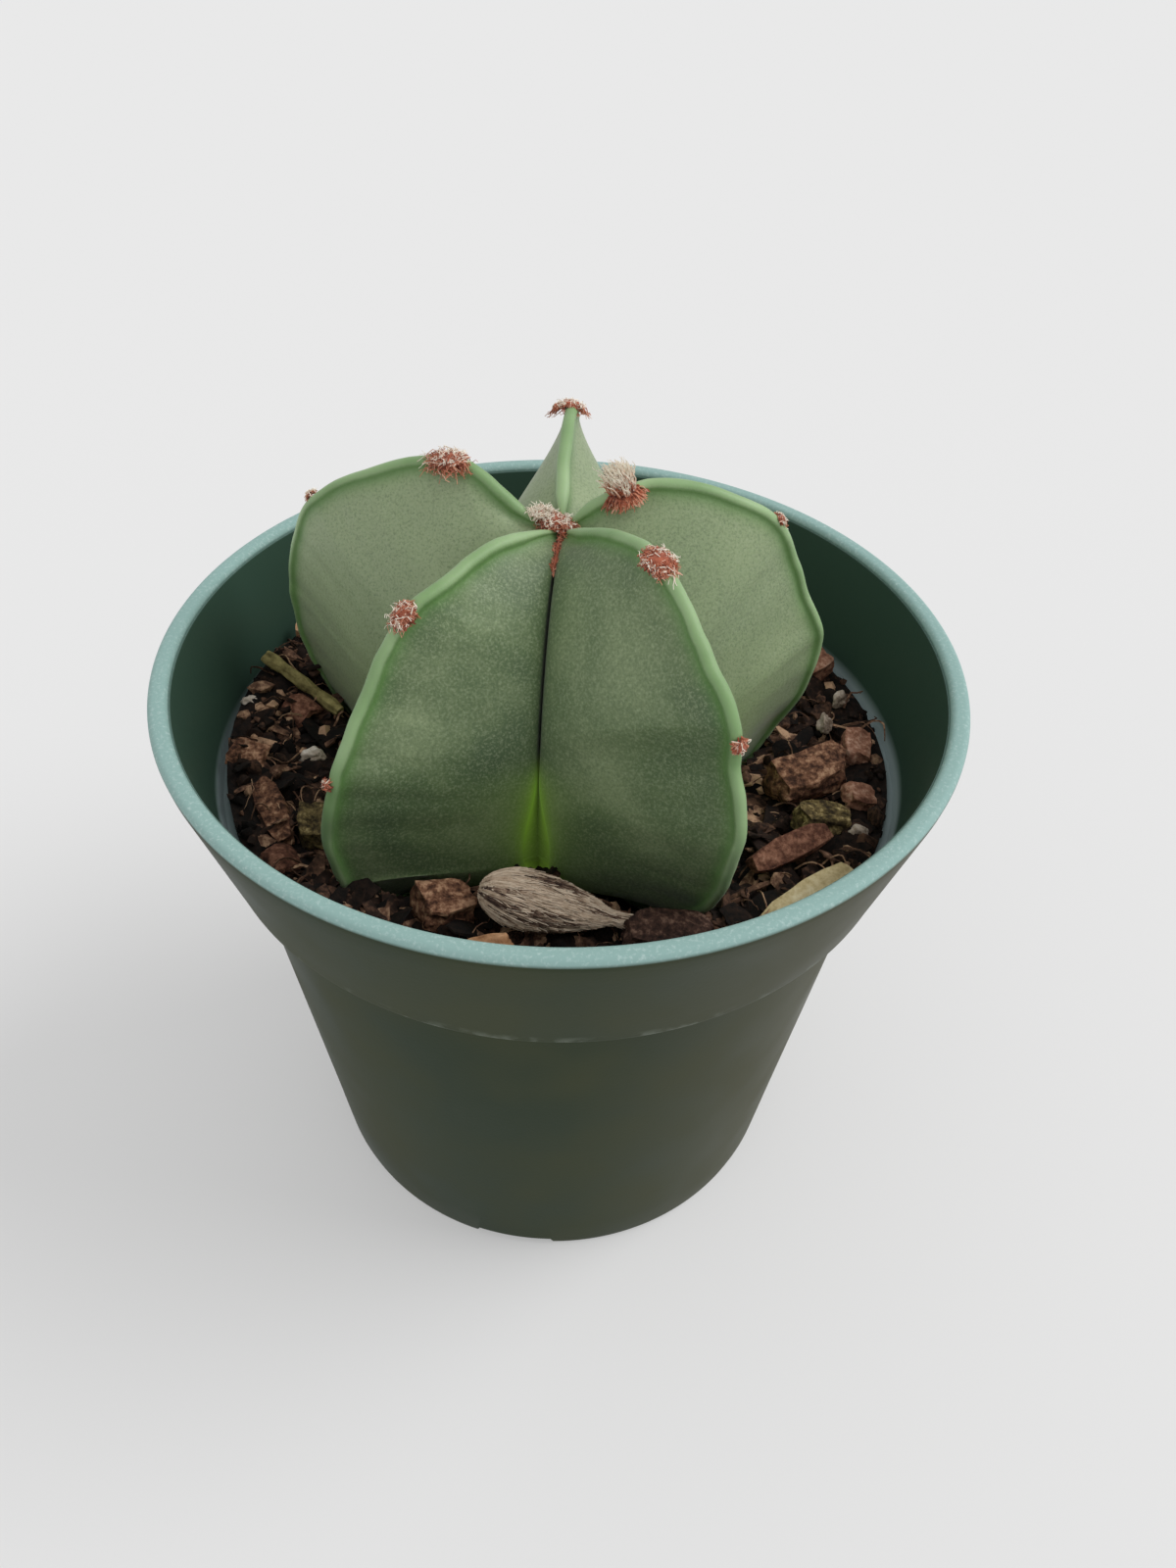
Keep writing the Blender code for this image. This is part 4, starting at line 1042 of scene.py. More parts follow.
@dataclass(frozen=True)
class WoolTuft:
    """Crimped wool on one areole.

    It sits on a rib near a (radius, height), spreads along and across the ridge, and has a
    length and a count of strands. The other values are shares: how many strands are cream,
    how much of the middle is bare, how many strands of the downhill side trail along the
    ridge, how upright the rest stand, and how many of the outer ones hang as a skirt.
    """

    node: str
    rib: int
    near: tuple
    spread: tuple
    length: float
    count: int
    cream: float
    hollow: float = 0.0
    tail: float = 0.0
    upright: float = 0.0
    skirt: float = 0.0

    def build(self, stem: RibbedStem, material: bpy.types.Material, seed: int) -> bpy.types.Object:
        """Grow the tuft on its rib, and let it stand for its node."""
        place, normal, tangent = stem.areole(self.rib, self.near)
        return self.settle(self.grow(place, normal, tangent, np.random.default_rng(seed)), material)

    def settle(self, parts: list, material: bpy.types.Material) -> bpy.types.Object:
        """Join wool in the making into the object that stands for the tuft's node."""
        tuft = joined(f"{self.node}_strands", parts).build(material, 60.0)
        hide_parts(self.node)
        return tuft

    def grow(self, place: np.ndarray, normal: np.ndarray, tangent: np.ndarray,
             draw: np.random.Generator) -> list:
        """Make the strands and the felt under them: each strand leans out, curls by a sine, and thins.

        Args:
            place: Middle of the areole.
            normal: Direction that the wool stands out in.
            tangent: Direction along the ridge, downhill.
            draw: Source of the strands' scatter.

        Returns:
            The strands and the felt, in the making.
        """
        across = np.cross(normal, tangent)
        angle = draw.uniform(0, math.tau, self.count)
        radial = np.sqrt(draw.uniform(self.hollow ** 2, 1.0, self.count))
        flat = radial[:, None] * (np.cos(angle)[:, None] * tangent * self.spread[0] / 2
                                  + np.sin(angle)[:, None] * across * self.spread[1] / 2)
        sag = (radial * np.sin(angle) * self.spread[1] / 2) ** 2 * 0.22
        base = place + flat - normal * (sag[:, None] + 0.25)
        outward = unit(flat) * (0.2 + 0.6 * radial[:, None])
        lean = unit(normal * (1.0 + self.upright) + outward * draw.uniform(0.3, 1.0, self.count)[:, None]
                    + draw.normal(0, 0.3, (self.count, 3)))
        pale = draw.uniform(0, 1, self.count) * (0.4 + 0.6 * radial) < self.cream
        height = self.length * draw.uniform(0.45, 1.0, self.count) * np.where(pale, 1.2, 0.75)
        # Skirt: outer strands hang down over the rib, and none of them is cream
        skirt = (radial > 0.62) & (draw.uniform(0, 1, self.count) < self.skirt)
        lean[skirt] = unit(unit(flat[skirt]) * 1.3 - normal * 0.75 + lean[skirt] * 0.35)
        pale &= ~skirt
        height = np.where(skirt, 1.9 * draw.uniform(0.5, 1.0, self.count), height)
        # Tail: strands on the downhill side lie longer along the ridge
        trailing = (np.cos(angle) > 0.45) & (draw.uniform(0, 1, self.count) < self.tail)
        lean[trailing] = unit(lean[trailing] * 0.5 + tangent * 1.2 - normal * 0.15)
        height = np.where(trailing, height * 1.5, height)[:, None, None]
        run = np.linspace(0, 1, 8)[None, :, None]
        side = unit(np.cross(lean, draw.normal(0, 1, (self.count, 3))))
        phase = draw.uniform(0, math.tau, (self.count, 1, 1))
        crimp = np.sin(phase + run * draw.uniform(5, 12, (self.count, 1, 1))) - np.sin(phase)
        curl = 0.12 + 0.26 / (1.0 + 2.0 * self.upright)
        paths = (base[:, None] + lean[:, None] * run * height
                 + side[:, None] * crimp * curl + np.array([0, 0, -0.3]) * run ** 2 * height)
        run = run[..., 0]
        taper = (1.0 - 0.6 * run) * draw.uniform(0.07, 0.12, (self.count, 1))
        tone = np.where(pale, draw.uniform(0.82, 1.0, self.count), draw.uniform(0.16, 0.66, self.count))
        tint = np.clip(tone[:, None] + (run - 0.5) * 0.3, 0, 1)
        return [tubes(self.node, paths, taper, tint), self.felt(place, normal, tangent, across)]

    def felt(self, place: np.ndarray, normal: np.ndarray, tangent: np.ndarray, across: np.ndarray) -> Piece:
        """Make a low closed cushion under the strands: an ellipsoid grid, flattened and roughened.

        Args:
            place: Middle of the areole.
            normal: Direction that the wool stands out in.
            tangent: Direction along the ridge.
            across: Direction across the ridge.

        Returns:
            The cushion, in the making.
        """
        rows, columns = 9, 16
        polar = np.linspace(0.12, math.pi - 0.12, rows)[:, None]
        turn = np.linspace(0, math.tau, columns, endpoint=False)[None]
        flat = (np.sin(polar) * np.cos(turn) * self.spread[0] * 0.42)[..., None] * tangent
        wide = (np.sin(polar) * np.sin(turn) * self.spread[1] * 0.42)[..., None] * across
        tall = (np.cos(polar) * np.ones_like(turn) * self.length * 0.26)[..., None] * normal
        points = (place + normal * 0.1 + flat + wide + tall).reshape(-1, 3)
        points = points + normal * layered_noise(points, 0.8, Pattern.FELT, 2)[:, None] * 0.15
        faces = quad_grid(rows, columns, True).tolist()
        faces += [list(range(columns))[::-1], list(range((rows - 1) * columns, rows * columns))]
        return Piece(self.node, points, faces, np.full(len(points), 0.28))


TUFTS = (
    WoolTuft("wool_right_back", 0, (7.2, 111.4), (3.2, 2.8), 4.4, 1000, 0.62, upright=2.4, skirt=0.8),
    WoolTuft("wool_back", 1, (20.5, 112.6), (2.2, 3.2), 1.2, 600, 0.16, upright=0.3, skirt=0.15),
    WoolTuft("wool_left_back", 2, (14.6, 112.3), (3.4, 2.6), 1.7, 760, 0.15, tail=0.4, skirt=0.4),
    WoolTuft("wool_left_front", 3, (24.3, 105.2), (2.5, 2.3), 1.3, 480, 0.1, hollow=0.3, tail=0.2),
    WoolTuft("wool_right_front", 4, (20.0, 113.0), (3.2, 3.0), 1.4, 700, 0.1, hollow=0.45, tail=0.5),
    WoolTuft("wool_small_right_back", 0, (27.4, 106.2), (1.3, 1.0), 0.9, 110, 0.2, tail=0.4),
    WoolTuft("wool_small_left_back", 2, (35.3, 103.0), (0.8, 0.8), 0.9, 60, 0.3),
    WoolTuft("wool_small_left_front", 3, (37.4, 88.0), (0.8, 1.0), 0.5, 50, 0.2),
    WoolTuft("wool_small_right_front", 4, (37.1, 99.5), (1.4, 1.4), 0.6, 120, 0.08, hollow=0.3),
)
TUFT_SEED = 40
CROWN_TUFT = WoolTuft("wool_crown", 0, (0.0, 0.0), (5.0, 2.8), 1.5, 850, 0.16, tail=0.4, skirt=0.2)
CROWN_PUFF = WoolTuft("wool_crown", 0, (0.0, 0.0), (1.6, 1.4), 1.6, 160, 1.0)
CREASE_CHAIN = WoolTuft("wool_crown", 0, (0.0, 0.0), (5.5, 0.5), 0.5, 130, 0.0, tail=0.3)
# Each part of the crown's wool, with its place, outward direction and downhill direction
CROWN_WOOL = (
    (CROWN_TUFT, (-1.2, 0.0, 107.2), (0.0, 0.0, 1.0), (0.8, -0.6, 0.0)),
    (CROWN_PUFF, (-3.0, 0.6, 107.7), (-0.2, -0.2, 0.96), (1.0, 0.0, 0.0)),
    (CREASE_CHAIN, (-0.8, -4.8, 105.6), (0.0, -0.3, 0.95), (-0.08, -0.95, -0.3)),
)
CROWN_SEED = 71


# ---------------------------------------------------------------- potting mix

@dataclass
class SoilBed:
    """The potting mix: a rough closed bed round the stem, with flakes, crumbs and root hairs on it."""

    stem: RibbedStem
    soil_z: float = 69.6
    rim_radius: float = 45.2
    rim_z: float = 71.7
    flat_radius: float = 36.5
    edge_radius: float = 42.3
    heap: float = 3.0
    heap_azimuth: float = 160.0
    roughness: float = 0.8
    dip: float = 1.5
    under: tuple = ((45.2, 70.6), (42.9, 70.5), (35.5, 4.1))
    socket: tuple = ((0.55, 53.5), (0.8, 63.0))
    around: int = 380
    rings: int = 74
    flakes: int = 1000
    flake_steps: tuple = (5, 3)
    crumbs: int = 2800
    hairs: int = 280
    press_depth: float = 1.5
    press_reach: float = 2.0
    seed: int = 23
    replaced: str = "soil"

    def height(self, x: np.ndarray, y: np.ndarray) -> np.ndarray:
        """Height of the mix: level with soft lumps, heaped on one side, dipping to the stem.

        Args:
            x: Places along X in mm.
            y: Places along Y in mm.

        Returns:
            The height at each place.
        """
        radius = np.hypot(x, y)
        facing = np.maximum(0.0, np.cos(np.arctan2(y, x) - math.radians(self.heap_azimuth)))
        heap = self.heap * facing ** 3 * smoothstep((radius - 24.0) / 14.0)
        lumps = np.sin(0.62 * x + 1.1) * np.cos(0.55 * y - 0.4) + 0.6 * np.sin(1.1 * y + 0.5 * x)
        edge = smoothstep((radius - self.flat_radius) / (self.edge_radius - self.flat_radius))
        clear = radius - self.stem.outline(np.arctan2(y, x))
        dip = self.dip * np.exp(-np.maximum(clear, 0.0) / 2.6)
        return (self.soil_z + self.roughness * lumps) * (1.0 - edge) + self.rim_z * edge + heap - dip

    def bed(self) -> Piece:
        """Make the bed's closed skin: the stem's socket, rings from the stem out to the rim, the underside.

        Returns:
            The bed, in the making.
        """
        angles = np.linspace(0, math.tau, self.around, endpoint=False)
        inner = self.stem.outline(angles) + 0.25
        levels = [ring(inner * share, angles, z) for share, z in self.socket]
        for share in np.linspace(0.0, 1.0, self.rings):
            level = ring(inner + (self.rim_radius - inner) * share, angles, 0.0)
            keep = 1.0 - 0.85 * smoothstep((share - 0.93) / 0.07)
            rough = (0.9 * layered_noise(level, 3.6, Pattern.MIX_LUMPS, 3) - 0.2
                     + 0.35 * layered_noise(level, 0.9, Pattern.MIX_GRIT, 2))
            level[:, 2] = self.height(level[:, 0], level[:, 1]) - 0.3 + rough * keep
            levels.append(level)
        levels += [ring(radius, angles, z) for radius, z in self.under]
        ends = [[0, 0, self.socket[0][1]], [0, 0, self.under[-1][1]]]
        points = np.vstack([*levels, ends])
        tint = 0.14 + 0.14 * layered_noise(points, 2.4, Pattern.MIX_TINT, 2)
        return Piece("bed", points, capped_grid(len(levels), self.around), np.clip(tint, 0, 1))

    def spots(self, draw: np.random.Generator, count: int, margin: np.ndarray, outer: np.ndarray) -> tuple:
        """Pick random places on the bed, even by area.

        Args:
            draw: Source of the scatter.
            count: How many places.
            margin: Least distance of each from the stem.
            outer: Largest radius of each.

        Returns:
            Their x and their y.
        """
        angle = draw.uniform(0, math.tau, count)
        low = self.stem.outline(angle) + margin
        high = np.maximum(outer, low + 0.2)
        radius = np.sqrt(draw.uniform(0, 1, count) * (high ** 2 - low ** 2) + low ** 2)
        return radius * np.cos(angle), radius * np.sin(angle)

    def press(self, x: np.ndarray, y: np.ndarray) -> np.ndarray:
        """How far to sink small bits so that they don't cover the loose pieces that have a node.

        Args:
            x: Places along X in mm.
            y: Places along Y in mm.

        Returns:
            A depth for each place, less with the distance from the nearest of those pieces.
        """
        names = [piece.node for piece in LOOSE_PIECES] + ["dried_bloom"]
        spots = [vert.co[:2] for name in names for vert in frame["nodes"][name].data.vertices]
        taken = np.array(spots) / MM
        nearest = np.empty(len(x))
        for start in range(0, len(x), 200):
            part = slice(start, start + 200)
            gap = np.column_stack([x[part], y[part]])[:, None] - taken[None]
            nearest[part] = np.sqrt((gap ** 2).sum(axis=2).min(axis=1))
        return self.press_depth * np.exp(-(nearest / self.press_reach) ** 2)

    def flake_piece(self, draw: np.random.Generator) -> Piece:
        """Scatter bark flakes: bent lens-shaped plates with ragged outlines.

        A plate's point is (u length, v width, thickness times 1 - u squared) plus a bow of
        u squared, pushed about at random, then turned and laid on the mix.

        Args:
            draw: Source of the scatter.

        Returns:
            The flakes, in the making.
        """
        n, (rows, columns) = self.flakes, self.flake_steps
        corners = rows * columns
        length = np.minimum(draw.gamma(5.0, 0.85, n) + 1.6, 8.5)
        width = length * draw.uniform(0.12, 0.5, n)
        thick = draw.uniform(0.3, 0.95, n)
        x, y = self.spots(draw, n, length * 0.42 + 0.2, self.rim_radius - 0.3 - length * 0.42)
        u = np.linspace(-1, 1, rows)[:, None] * np.ones(columns)
        v = np.linspace(-1, 1, columns)[None] * np.ones((rows, 1))
        jitter = draw.normal(0, 1, (n, 2, rows, columns, 3))
        bow = draw.normal(0, 1, n)[:, None, None]
        long, wide, deep = (size[:, None, None] for size in (length, width, thick))
        px = u * long / 2 * (1 + 0.06 * jitter[:, 0, ..., 0])
        py = v * (1.0 - 0.4 * np.abs(u) ** 2.5) * wide / 2 * (1 + 0.16 * jitter[:, 0, ..., 1])
        shape = []
        for face, sign in enumerate((1.0, -1.0)):
            pz = (sign * deep / 2 * (1 - 0.5 * np.abs(v)) * (1 - 0.45 * u ** 2)
                  + 0.06 * long * bow * (u ** 2 - 0.5) + 0.09 * jitter[:, face, ..., 2])
            shape.append(np.stack([px, py, pz], axis=-1).reshape(n, corners, 3))
        yaw, pitch, roll = draw.uniform(0, math.tau, n), draw.normal(0, 0.3, n), draw.normal(0, 0.35, n)
        turned = np.einsum("nij,nkj->nki", turns(yaw, pitch, roll), np.concatenate(shape, axis=1))
        z = self.height(x, y) + draw.uniform(-0.3, 1.0, n) - self.press(x, y)
        points = turned + np.stack([x, y, z], axis=1)[:, None]
        number = np.arange(corners).reshape(rows, columns)
        border = [*number[:-1, 0], *number[-1, :-1], *number[:0:-1, -1], *number[0, :0:-1]]
        rim = [[a + corners, b + corners, b, a] for a, b in zip(border, border[1:] + border[:1])]
        plate = quad_grid(rows, columns, False)
        faces = np.vstack([plate, plate[:, ::-1] + corners, rim])
        faces = (faces[None] + np.arange(n)[:, None, None] * 2 * corners).reshape(-1, 4).tolist()
        tint = np.repeat(draw.beta(1.3, 2.3, n), 2 * corners) + 0.08 * draw.normal(0, 1, n * 2 * corners)
        return Piece("flakes", points.reshape(-1, 3), faces, np.clip(tint, 0.02, 0.98))

    def crumb_piece(self, draw: np.random.Generator) -> Piece:
        """Scatter crumbs of peat, bark and perlite: icosahedra pushed out of shape.

        Args:
            draw: Source of the scatter.

        Returns:
            The crumbs, in the making.
        """
        ball = bmesh.new()
        bmesh.ops.create_icosphere(ball, subdivisions=1, radius=1.0)
        shape = np.array([vert.co[:] for vert in ball.verts])
        corners = np.array([[vert.index for vert in face.verts] for face in ball.faces])
        ball.free()
        n = self.crumbs
        size = draw.gamma(3.0, 0.22, n) + 0.25
        x, y = self.spots(draw, n, size + 0.1, np.full(n, self.rim_radius + 0.6) - size)
        z = self.height(x, y) + size * 0.25 + draw.uniform(-0.3, 0.5, n) - self.press(x, y)
        push = 1.0 + 0.22 * draw.normal(0, 1, (n, len(shape), 1))
        squash = draw.uniform(0.55, 1.1, (n, 1, 3))
        points = shape * push * squash * size[:, None, None] + np.stack([x, y, z], axis=1)[:, None]
        faces = (corners[None] + np.arange(n)[:, None, None] * len(shape)).reshape(-1, 3).tolist()
        # One crumb in fourteen is pale perlite
        tone = np.where(draw.uniform(0, 1, n) < 0.07, draw.uniform(0.85, 1.0, n), draw.beta(1.3, 2.8, n))
        return Piece("crumbs", points.reshape(-1, 3), faces, np.repeat(tone, len(shape)))

    def hair_piece(self, draw: np.random.Generator) -> Piece:
        """Scatter root hairs and bark fibres: thin tubes that wander and arch over the mix.

        Args:
            draw: Source of the scatter.

        Returns:
            The hairs, in the making.
        """
        n, steps = self.hairs, 9
        x, y = self.spots(draw, n, np.full(n, 2.0), np.full(n, 42.0))
        heading = draw.uniform(0, math.tau, n)[:, None] + np.cumsum(draw.normal(0, 0.35, (n, steps)), axis=1)
        stride = draw.uniform(0.35, 0.9, n)[:, None]
        px = x[:, None] + np.cumsum(np.cos(heading) * stride, axis=1)
        py = y[:, None] + np.cumsum(np.sin(heading) * stride, axis=1)
        fit = np.minimum(1.0, (self.rim_radius + 0.6) / np.hypot(px, py))
        px, py = px * fit, py * fit
        arch = np.sin(np.linspace(0, math.pi, steps)) * draw.uniform(0.2, 1.6, n)[:, None]
        pz = self.height(px, py) + 0.5 + arch
        thick = draw.uniform(0.06, 0.22, n)[:, None] * np.linspace(1.0, 0.5, steps)
        tint = np.repeat(draw.uniform(0.45, 0.95, n)[:, None], steps, axis=1)
        return tubes("hairs", np.stack([px, py, pz], axis=-1), thick, tint)

    def build(self, material: bpy.types.Material) -> bpy.types.Object:
        """Join the bed and what lies on it into one piece."""
        draw = np.random.default_rng(self.seed)
        parts = [self.bed(), self.flake_piece(draw), self.crumb_piece(draw), self.hair_piece(draw)]
        soil = joined("potting_mix_bed", parts).build(material, 45.0)
        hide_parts(self.replaced)
        return soil


@dataclass
class LoosePiece:
    """A loose piece of the mix, refined from its node and roughened along its grain.

    The levels are how often its edges are split. The rough value is the depth and the grain
    the size of its relief, and the tint is its place in the finish's tone.
    """

    node: str
    finish: Rough
    slot: str
    levels: int = 3
    rough: float = 0.3
    grain: float = 1.1
    tint: float = 0.55

    def build(self, material: bpy.types.Material) -> bpy.types.Object:
        """Merge and split a copy of the node's mesh, then push its points by noise along their normals.

        Args:
            material: The finish, made.

        Returns:
            The piece, which stands for its node.
        """
        mesh = bmesh.new()
        mesh.from_mesh(frame["nodes"][self.node].data)
        bmesh.ops.remove_doubles(mesh, verts=mesh.verts, dist=0.001 * MM)
        for _ in range(self.levels):
            bmesh.ops.subdivide_edges(mesh, edges=mesh.edges, cuts=1, use_grid_fill=True, smooth=0.08)
        bmesh.ops.triangulate(mesh, faces=mesh.faces)
        mesh.normal_update()
        mesh.verts.ensure_lookup_table()
        points = np.array([vert.co[:] for vert in mesh.verts]) / MM
        normals = np.array([vert.normal[:] for vert in mesh.verts])
        faces = [[vert.index for vert in face.verts] for face in mesh.faces]
        mesh.free()
        # The relief is stretched along the piece's longest direction, as wood fibre is
        extent = points - points.mean(axis=0)
        axis = np.linalg.svd(extent, full_matrices=False)[2][0]
        fibre = extent - (extent @ axis)[:, None] * axis * 0.8
        push = layered_noise(fibre + 20, self.grain, Pattern.CHIP_FORM, 3) * self.rough
        points = points + normals * push[:, None]
        tint = self.tint + 0.25 * layered_noise(fibre + 60, self.grain * 1.6, Pattern.CHIP_TINT, 2)
        piece = Piece(f"{self.node}_rough", points, faces, np.clip(tint, 0, 1)).build(material, 38.0)
        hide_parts(self.node)
        return piece


# Pine bark, broken: matt red-brown, with pale flakes on dark
BARK = Rough("pine_bark", Tone.BROWN, 0.9, 0.42, 0.35)
# Inner bark, peeled: dull pink layers
PINK_BARK = Rough("pink_inner_bark", Tone.PINK, 0.9, 0.3, 0.3)
# Bark and sapwood, freshly split: a warm, even tan
PALE_BARK = Rough("pale_split_bark", Tone.PALE, 1.3, 0.25, 0.15)
# Rotted bark fibre: nearly black, and it hides its form
DARK_BARK = Rough("dark_fibrous_bark", Tone.DARK, 0.8, 0.35, 0.3)
# Sapwood splinter: straw yellow and almost smooth
STRAW = Rough("pale_sapwood", Tone.STRAW, 1.0, 0.22, 0.1)
# Dry stalk: dull olive with paler streaks
TWIG = Rough("dry_stalk", Tone.TWIG, 1.2, 0.25, 0.12)
# Bark under old moss: brown with ochre patches
MOSS = Rough("mossy_bark", Tone.MOSS, 0.9, 0.4, 0.3)
# Expanded perlite, stained by the mix: chalky grains, off-white to tan
GRAINS = Rough("stained_perlite", Tone.GRAINS, 0.8, 0.25, 0.15)
# Peat and fine bark: dark and crumbly, with single pale bits
MIX = Rough("potting_mix", Tone.MIX, 1.0, 0.22, 0.2)
# Plant wool: rust at the base and cream at the tips, with a soft edge
WOOL = Rough("areole_wool", Tone.WOOL, 0.6, 0.12, 0.03, sheen=0.25)
# Withered flower wool: silvery beige with dark locks, slightly silky
PETALS = Rough("dried_flower_wool", Tone.BLOOM, 0.8, 0.14, 0.05, sheen=0.15)

LOOSE_PIECES = (
    LoosePiece("bark_chunk_front", BARK, "bark", tint=0.62, rough=0.4),
    LoosePiece("bark_crumb_front", PALE_BARK, "bark", tint=0.45, rough=0.35),
    LoosePiece("fibre_front", DARK_BARK, "bark", tint=0.5, rough=0.4, grain=0.9),
    LoosePiece("straw_sliver", STRAW, "straw", tint=0.6, rough=0.12),
    LoosePiece("bark_plank_right", PINK_BARK, "bark", tint=0.4, rough=0.14),
    LoosePiece("bark_block_right", BARK, "bark", tint=0.55, rough=0.38),
    LoosePiece("moss_chip_right", MOSS, "mossy_bark", tint=0.55, rough=0.35),
    LoosePiece("bark_chip_right", PINK_BARK, "bark", tint=0.6),
    LoosePiece("bark_pink_right", PINK_BARK, "bark", tint=0.65),
    LoosePiece("bark_pink_back", PINK_BARK, "bark", tint=0.6),
    LoosePiece("bark_slab_left", PALE_BARK, "bark", tint=0.62, rough=0.16),
    LoosePiece("bark_curl_left", BARK, "bark", tint=0.6, rough=0.1),
    LoosePiece("bark_curl_mid", PINK_BARK, "bark", tint=0.45, rough=0.1),
    LoosePiece("bark_strip_left", BARK, "bark", tint=0.5),
    LoosePiece("bark_curl_low", PINK_BARK, "bark", tint=0.35, rough=0.1),
    LoosePiece("moss_chunk_left", MOSS, "mossy_bark", tint=0.5, rough=0.35),
    LoosePiece("bark_back_right", BARK, "bark", tint=0.5),
    LoosePiece("bark_back_mid", PALE_BARK, "bark", tint=0.4),
    LoosePiece("bark_back_left", BARK, "bark", tint=0.5),
    LoosePiece("perlite_left", GRAINS, "perlite", 3, 0.55, 0.9, tint=0.55),
    LoosePiece("perlite_left_back", GRAINS, "perlite", 3, 0.55, 0.9, tint=0.62),
    LoosePiece("perlite_right", GRAINS, "perlite", 3, 0.55, 0.9, tint=0.3),
    LoosePiece("perlite_right_back", GRAINS, "perlite", 3, 0.55, 0.9, tint=0.3),
    LoosePiece("perlite_right_front", GRAINS, "perlite", 3, 0.55, 0.9, tint=0.45),
    LoosePiece("perlite_back", GRAINS, "perlite", 3, 0.55, 0.9, tint=0.65),
    LoosePiece("twig", TWIG, "twig_wood", 2, 0.14, 0.8, tint=0.55),
)


# ---------------------------------------------------------------- withered flower

@dataclass
class DriedBloom:
    """The withered woolly flower: a scaly bud under swept hair, with a drawn-out tip."""

    place: tuple = (-0.3, -32.0, 73.9)
    length: float = 16.6
    radius: float = 4.0
    flatness: float = 0.9
    tilt: float = 9.0
    yaw: float = -5.0
    scale_rows: float = 5.0
    scale_lift: float = 0.05
    hairs: int = 3400
    seed: int = 7
    replaced: str = "dried_bloom"

    def girth(self, along: np.ndarray) -> np.ndarray:
        """Radius along the bud: a power of a sine, narrowed towards the tip."""
        round_part = np.sin(math.pi * np.clip(along, 0.002, 0.998) ** 0.72) ** 0.62
        return self.radius * round_part * (1 - 0.25 * along)

    def wrap(self, along: np.ndarray, radius: np.ndarray, turn: np.ndarray) -> np.ndarray:
        """Points round the bud's own axis, at shares of its length, radii, and turns in radians."""
        return np.stack(np.broadcast_arrays((along - 0.5) * self.length, radius * np.cos(turn),
                                            radius * np.sin(turn) * self.flatness), axis=-1)

    def lay(self, points: np.ndarray) -> np.ndarray:
        """Tilt and turn the bud's own points, and lay them on the mix."""
        yaw, tilt, roll = np.radians([[self.yaw], [self.tilt], [0.0]])
        return points @ turns(yaw, tilt, roll)[0].T + np.array(self.place)

    def body(self) -> Piece:
        """Make the bud: rings of the girth, with rows of scales as a sawtooth along it.

        Returns:
            The bud, in the making.
        """
        rows, around = 70, 56
        along = np.linspace(0.01, 0.99, rows)[:, None]
        turn = np.linspace(0, math.tau, around, endpoint=False)[None]
        count = along * self.scale_rows
        scales = 1.0 + self.scale_lift * (count % 1.0) * (1.0 + np.cos(6 * turn + math.pi * np.floor(count)))
        points = self.wrap(along, self.girth(along) * scales * 0.93, turn).reshape(-1, 3)
        push = 0.12 * layered_noise(points, 1.6, Pattern.BUD_FORM, 2)
        points = points + push[:, None] * unit(points * [0, 1, 1])
        faces = quad_grid(rows, around, True)[:, ::-1].tolist()
        faces += [list(range(around)), list(range((rows - 1) * around, rows * around))[::-1]]
        tint = 0.5 + 0.3 * layered_noise(points * [0.35, 1, 1] + 9, 1.3, Pattern.BUD_TINT, 2)
        return Piece("bud", self.lay(points), faces, np.clip(tint, 0.05, 0.9))

    def coat(self, draw: np.random.Generator) -> Piece:
        """Make the hair: strands that start on the bud and sweep to its tip, in pale and dark locks.

        Args:
            draw: Source of the strands' scatter.

        Returns:
            The hair, in the making.
        """
        n, steps = self.hairs, 6
        start = draw.uniform(0.0, 0.93, n)
        turn = draw.uniform(0, math.tau, n)
        reach = draw.uniform(0.14, 0.34, n) * (1.1 - 0.5 * start)
        run = np.linspace(0, 1, steps)
        along = start[:, None] + reach[:, None] * run
        twist = turn[:, None] + draw.normal(0.12, 0.14, n)[:, None] * run
        lift = draw.uniform(0.02, 0.3, n)[:, None] * run ** 1.5 * 1.6
        radius = self.girth(np.minimum(along, 0.97)) * 0.95 + 0.06 + lift
        paths = self.lay(self.wrap(along, radius, twist).reshape(-1, 3)).reshape(n, steps, 3)
        lock = np.column_stack([start * 2.2, np.cos(turn) * 3.2, np.sin(turn) * 3.2])
        streak = layered_noise(lock + 40, 1.1, Pattern.HAIR_LOCKS, 2)
        tone = np.where(streak < -0.4, 0.18, 0.75) + draw.normal(0, 0.12, n)
        tint = np.clip(tone[:, None] + 0.12 * run, 0, 1)
        thick = draw.uniform(0.08, 0.14, n)[:, None] * (1.0 - 0.7 * run)
        return tubes("coat", paths, thick, tint)

    def build(self, material: bpy.types.Material) -> bpy.types.Object:
        """Join the bud and its hair, and let them stand for their node."""
        parts = [self.body(), self.coat(np.random.default_rng(self.seed))]
        bloom = joined("withered_bloom", parts).build(material, 60.0)
        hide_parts(self.replaced)
        return bloom


# ---------------------------------------------------------------- studio

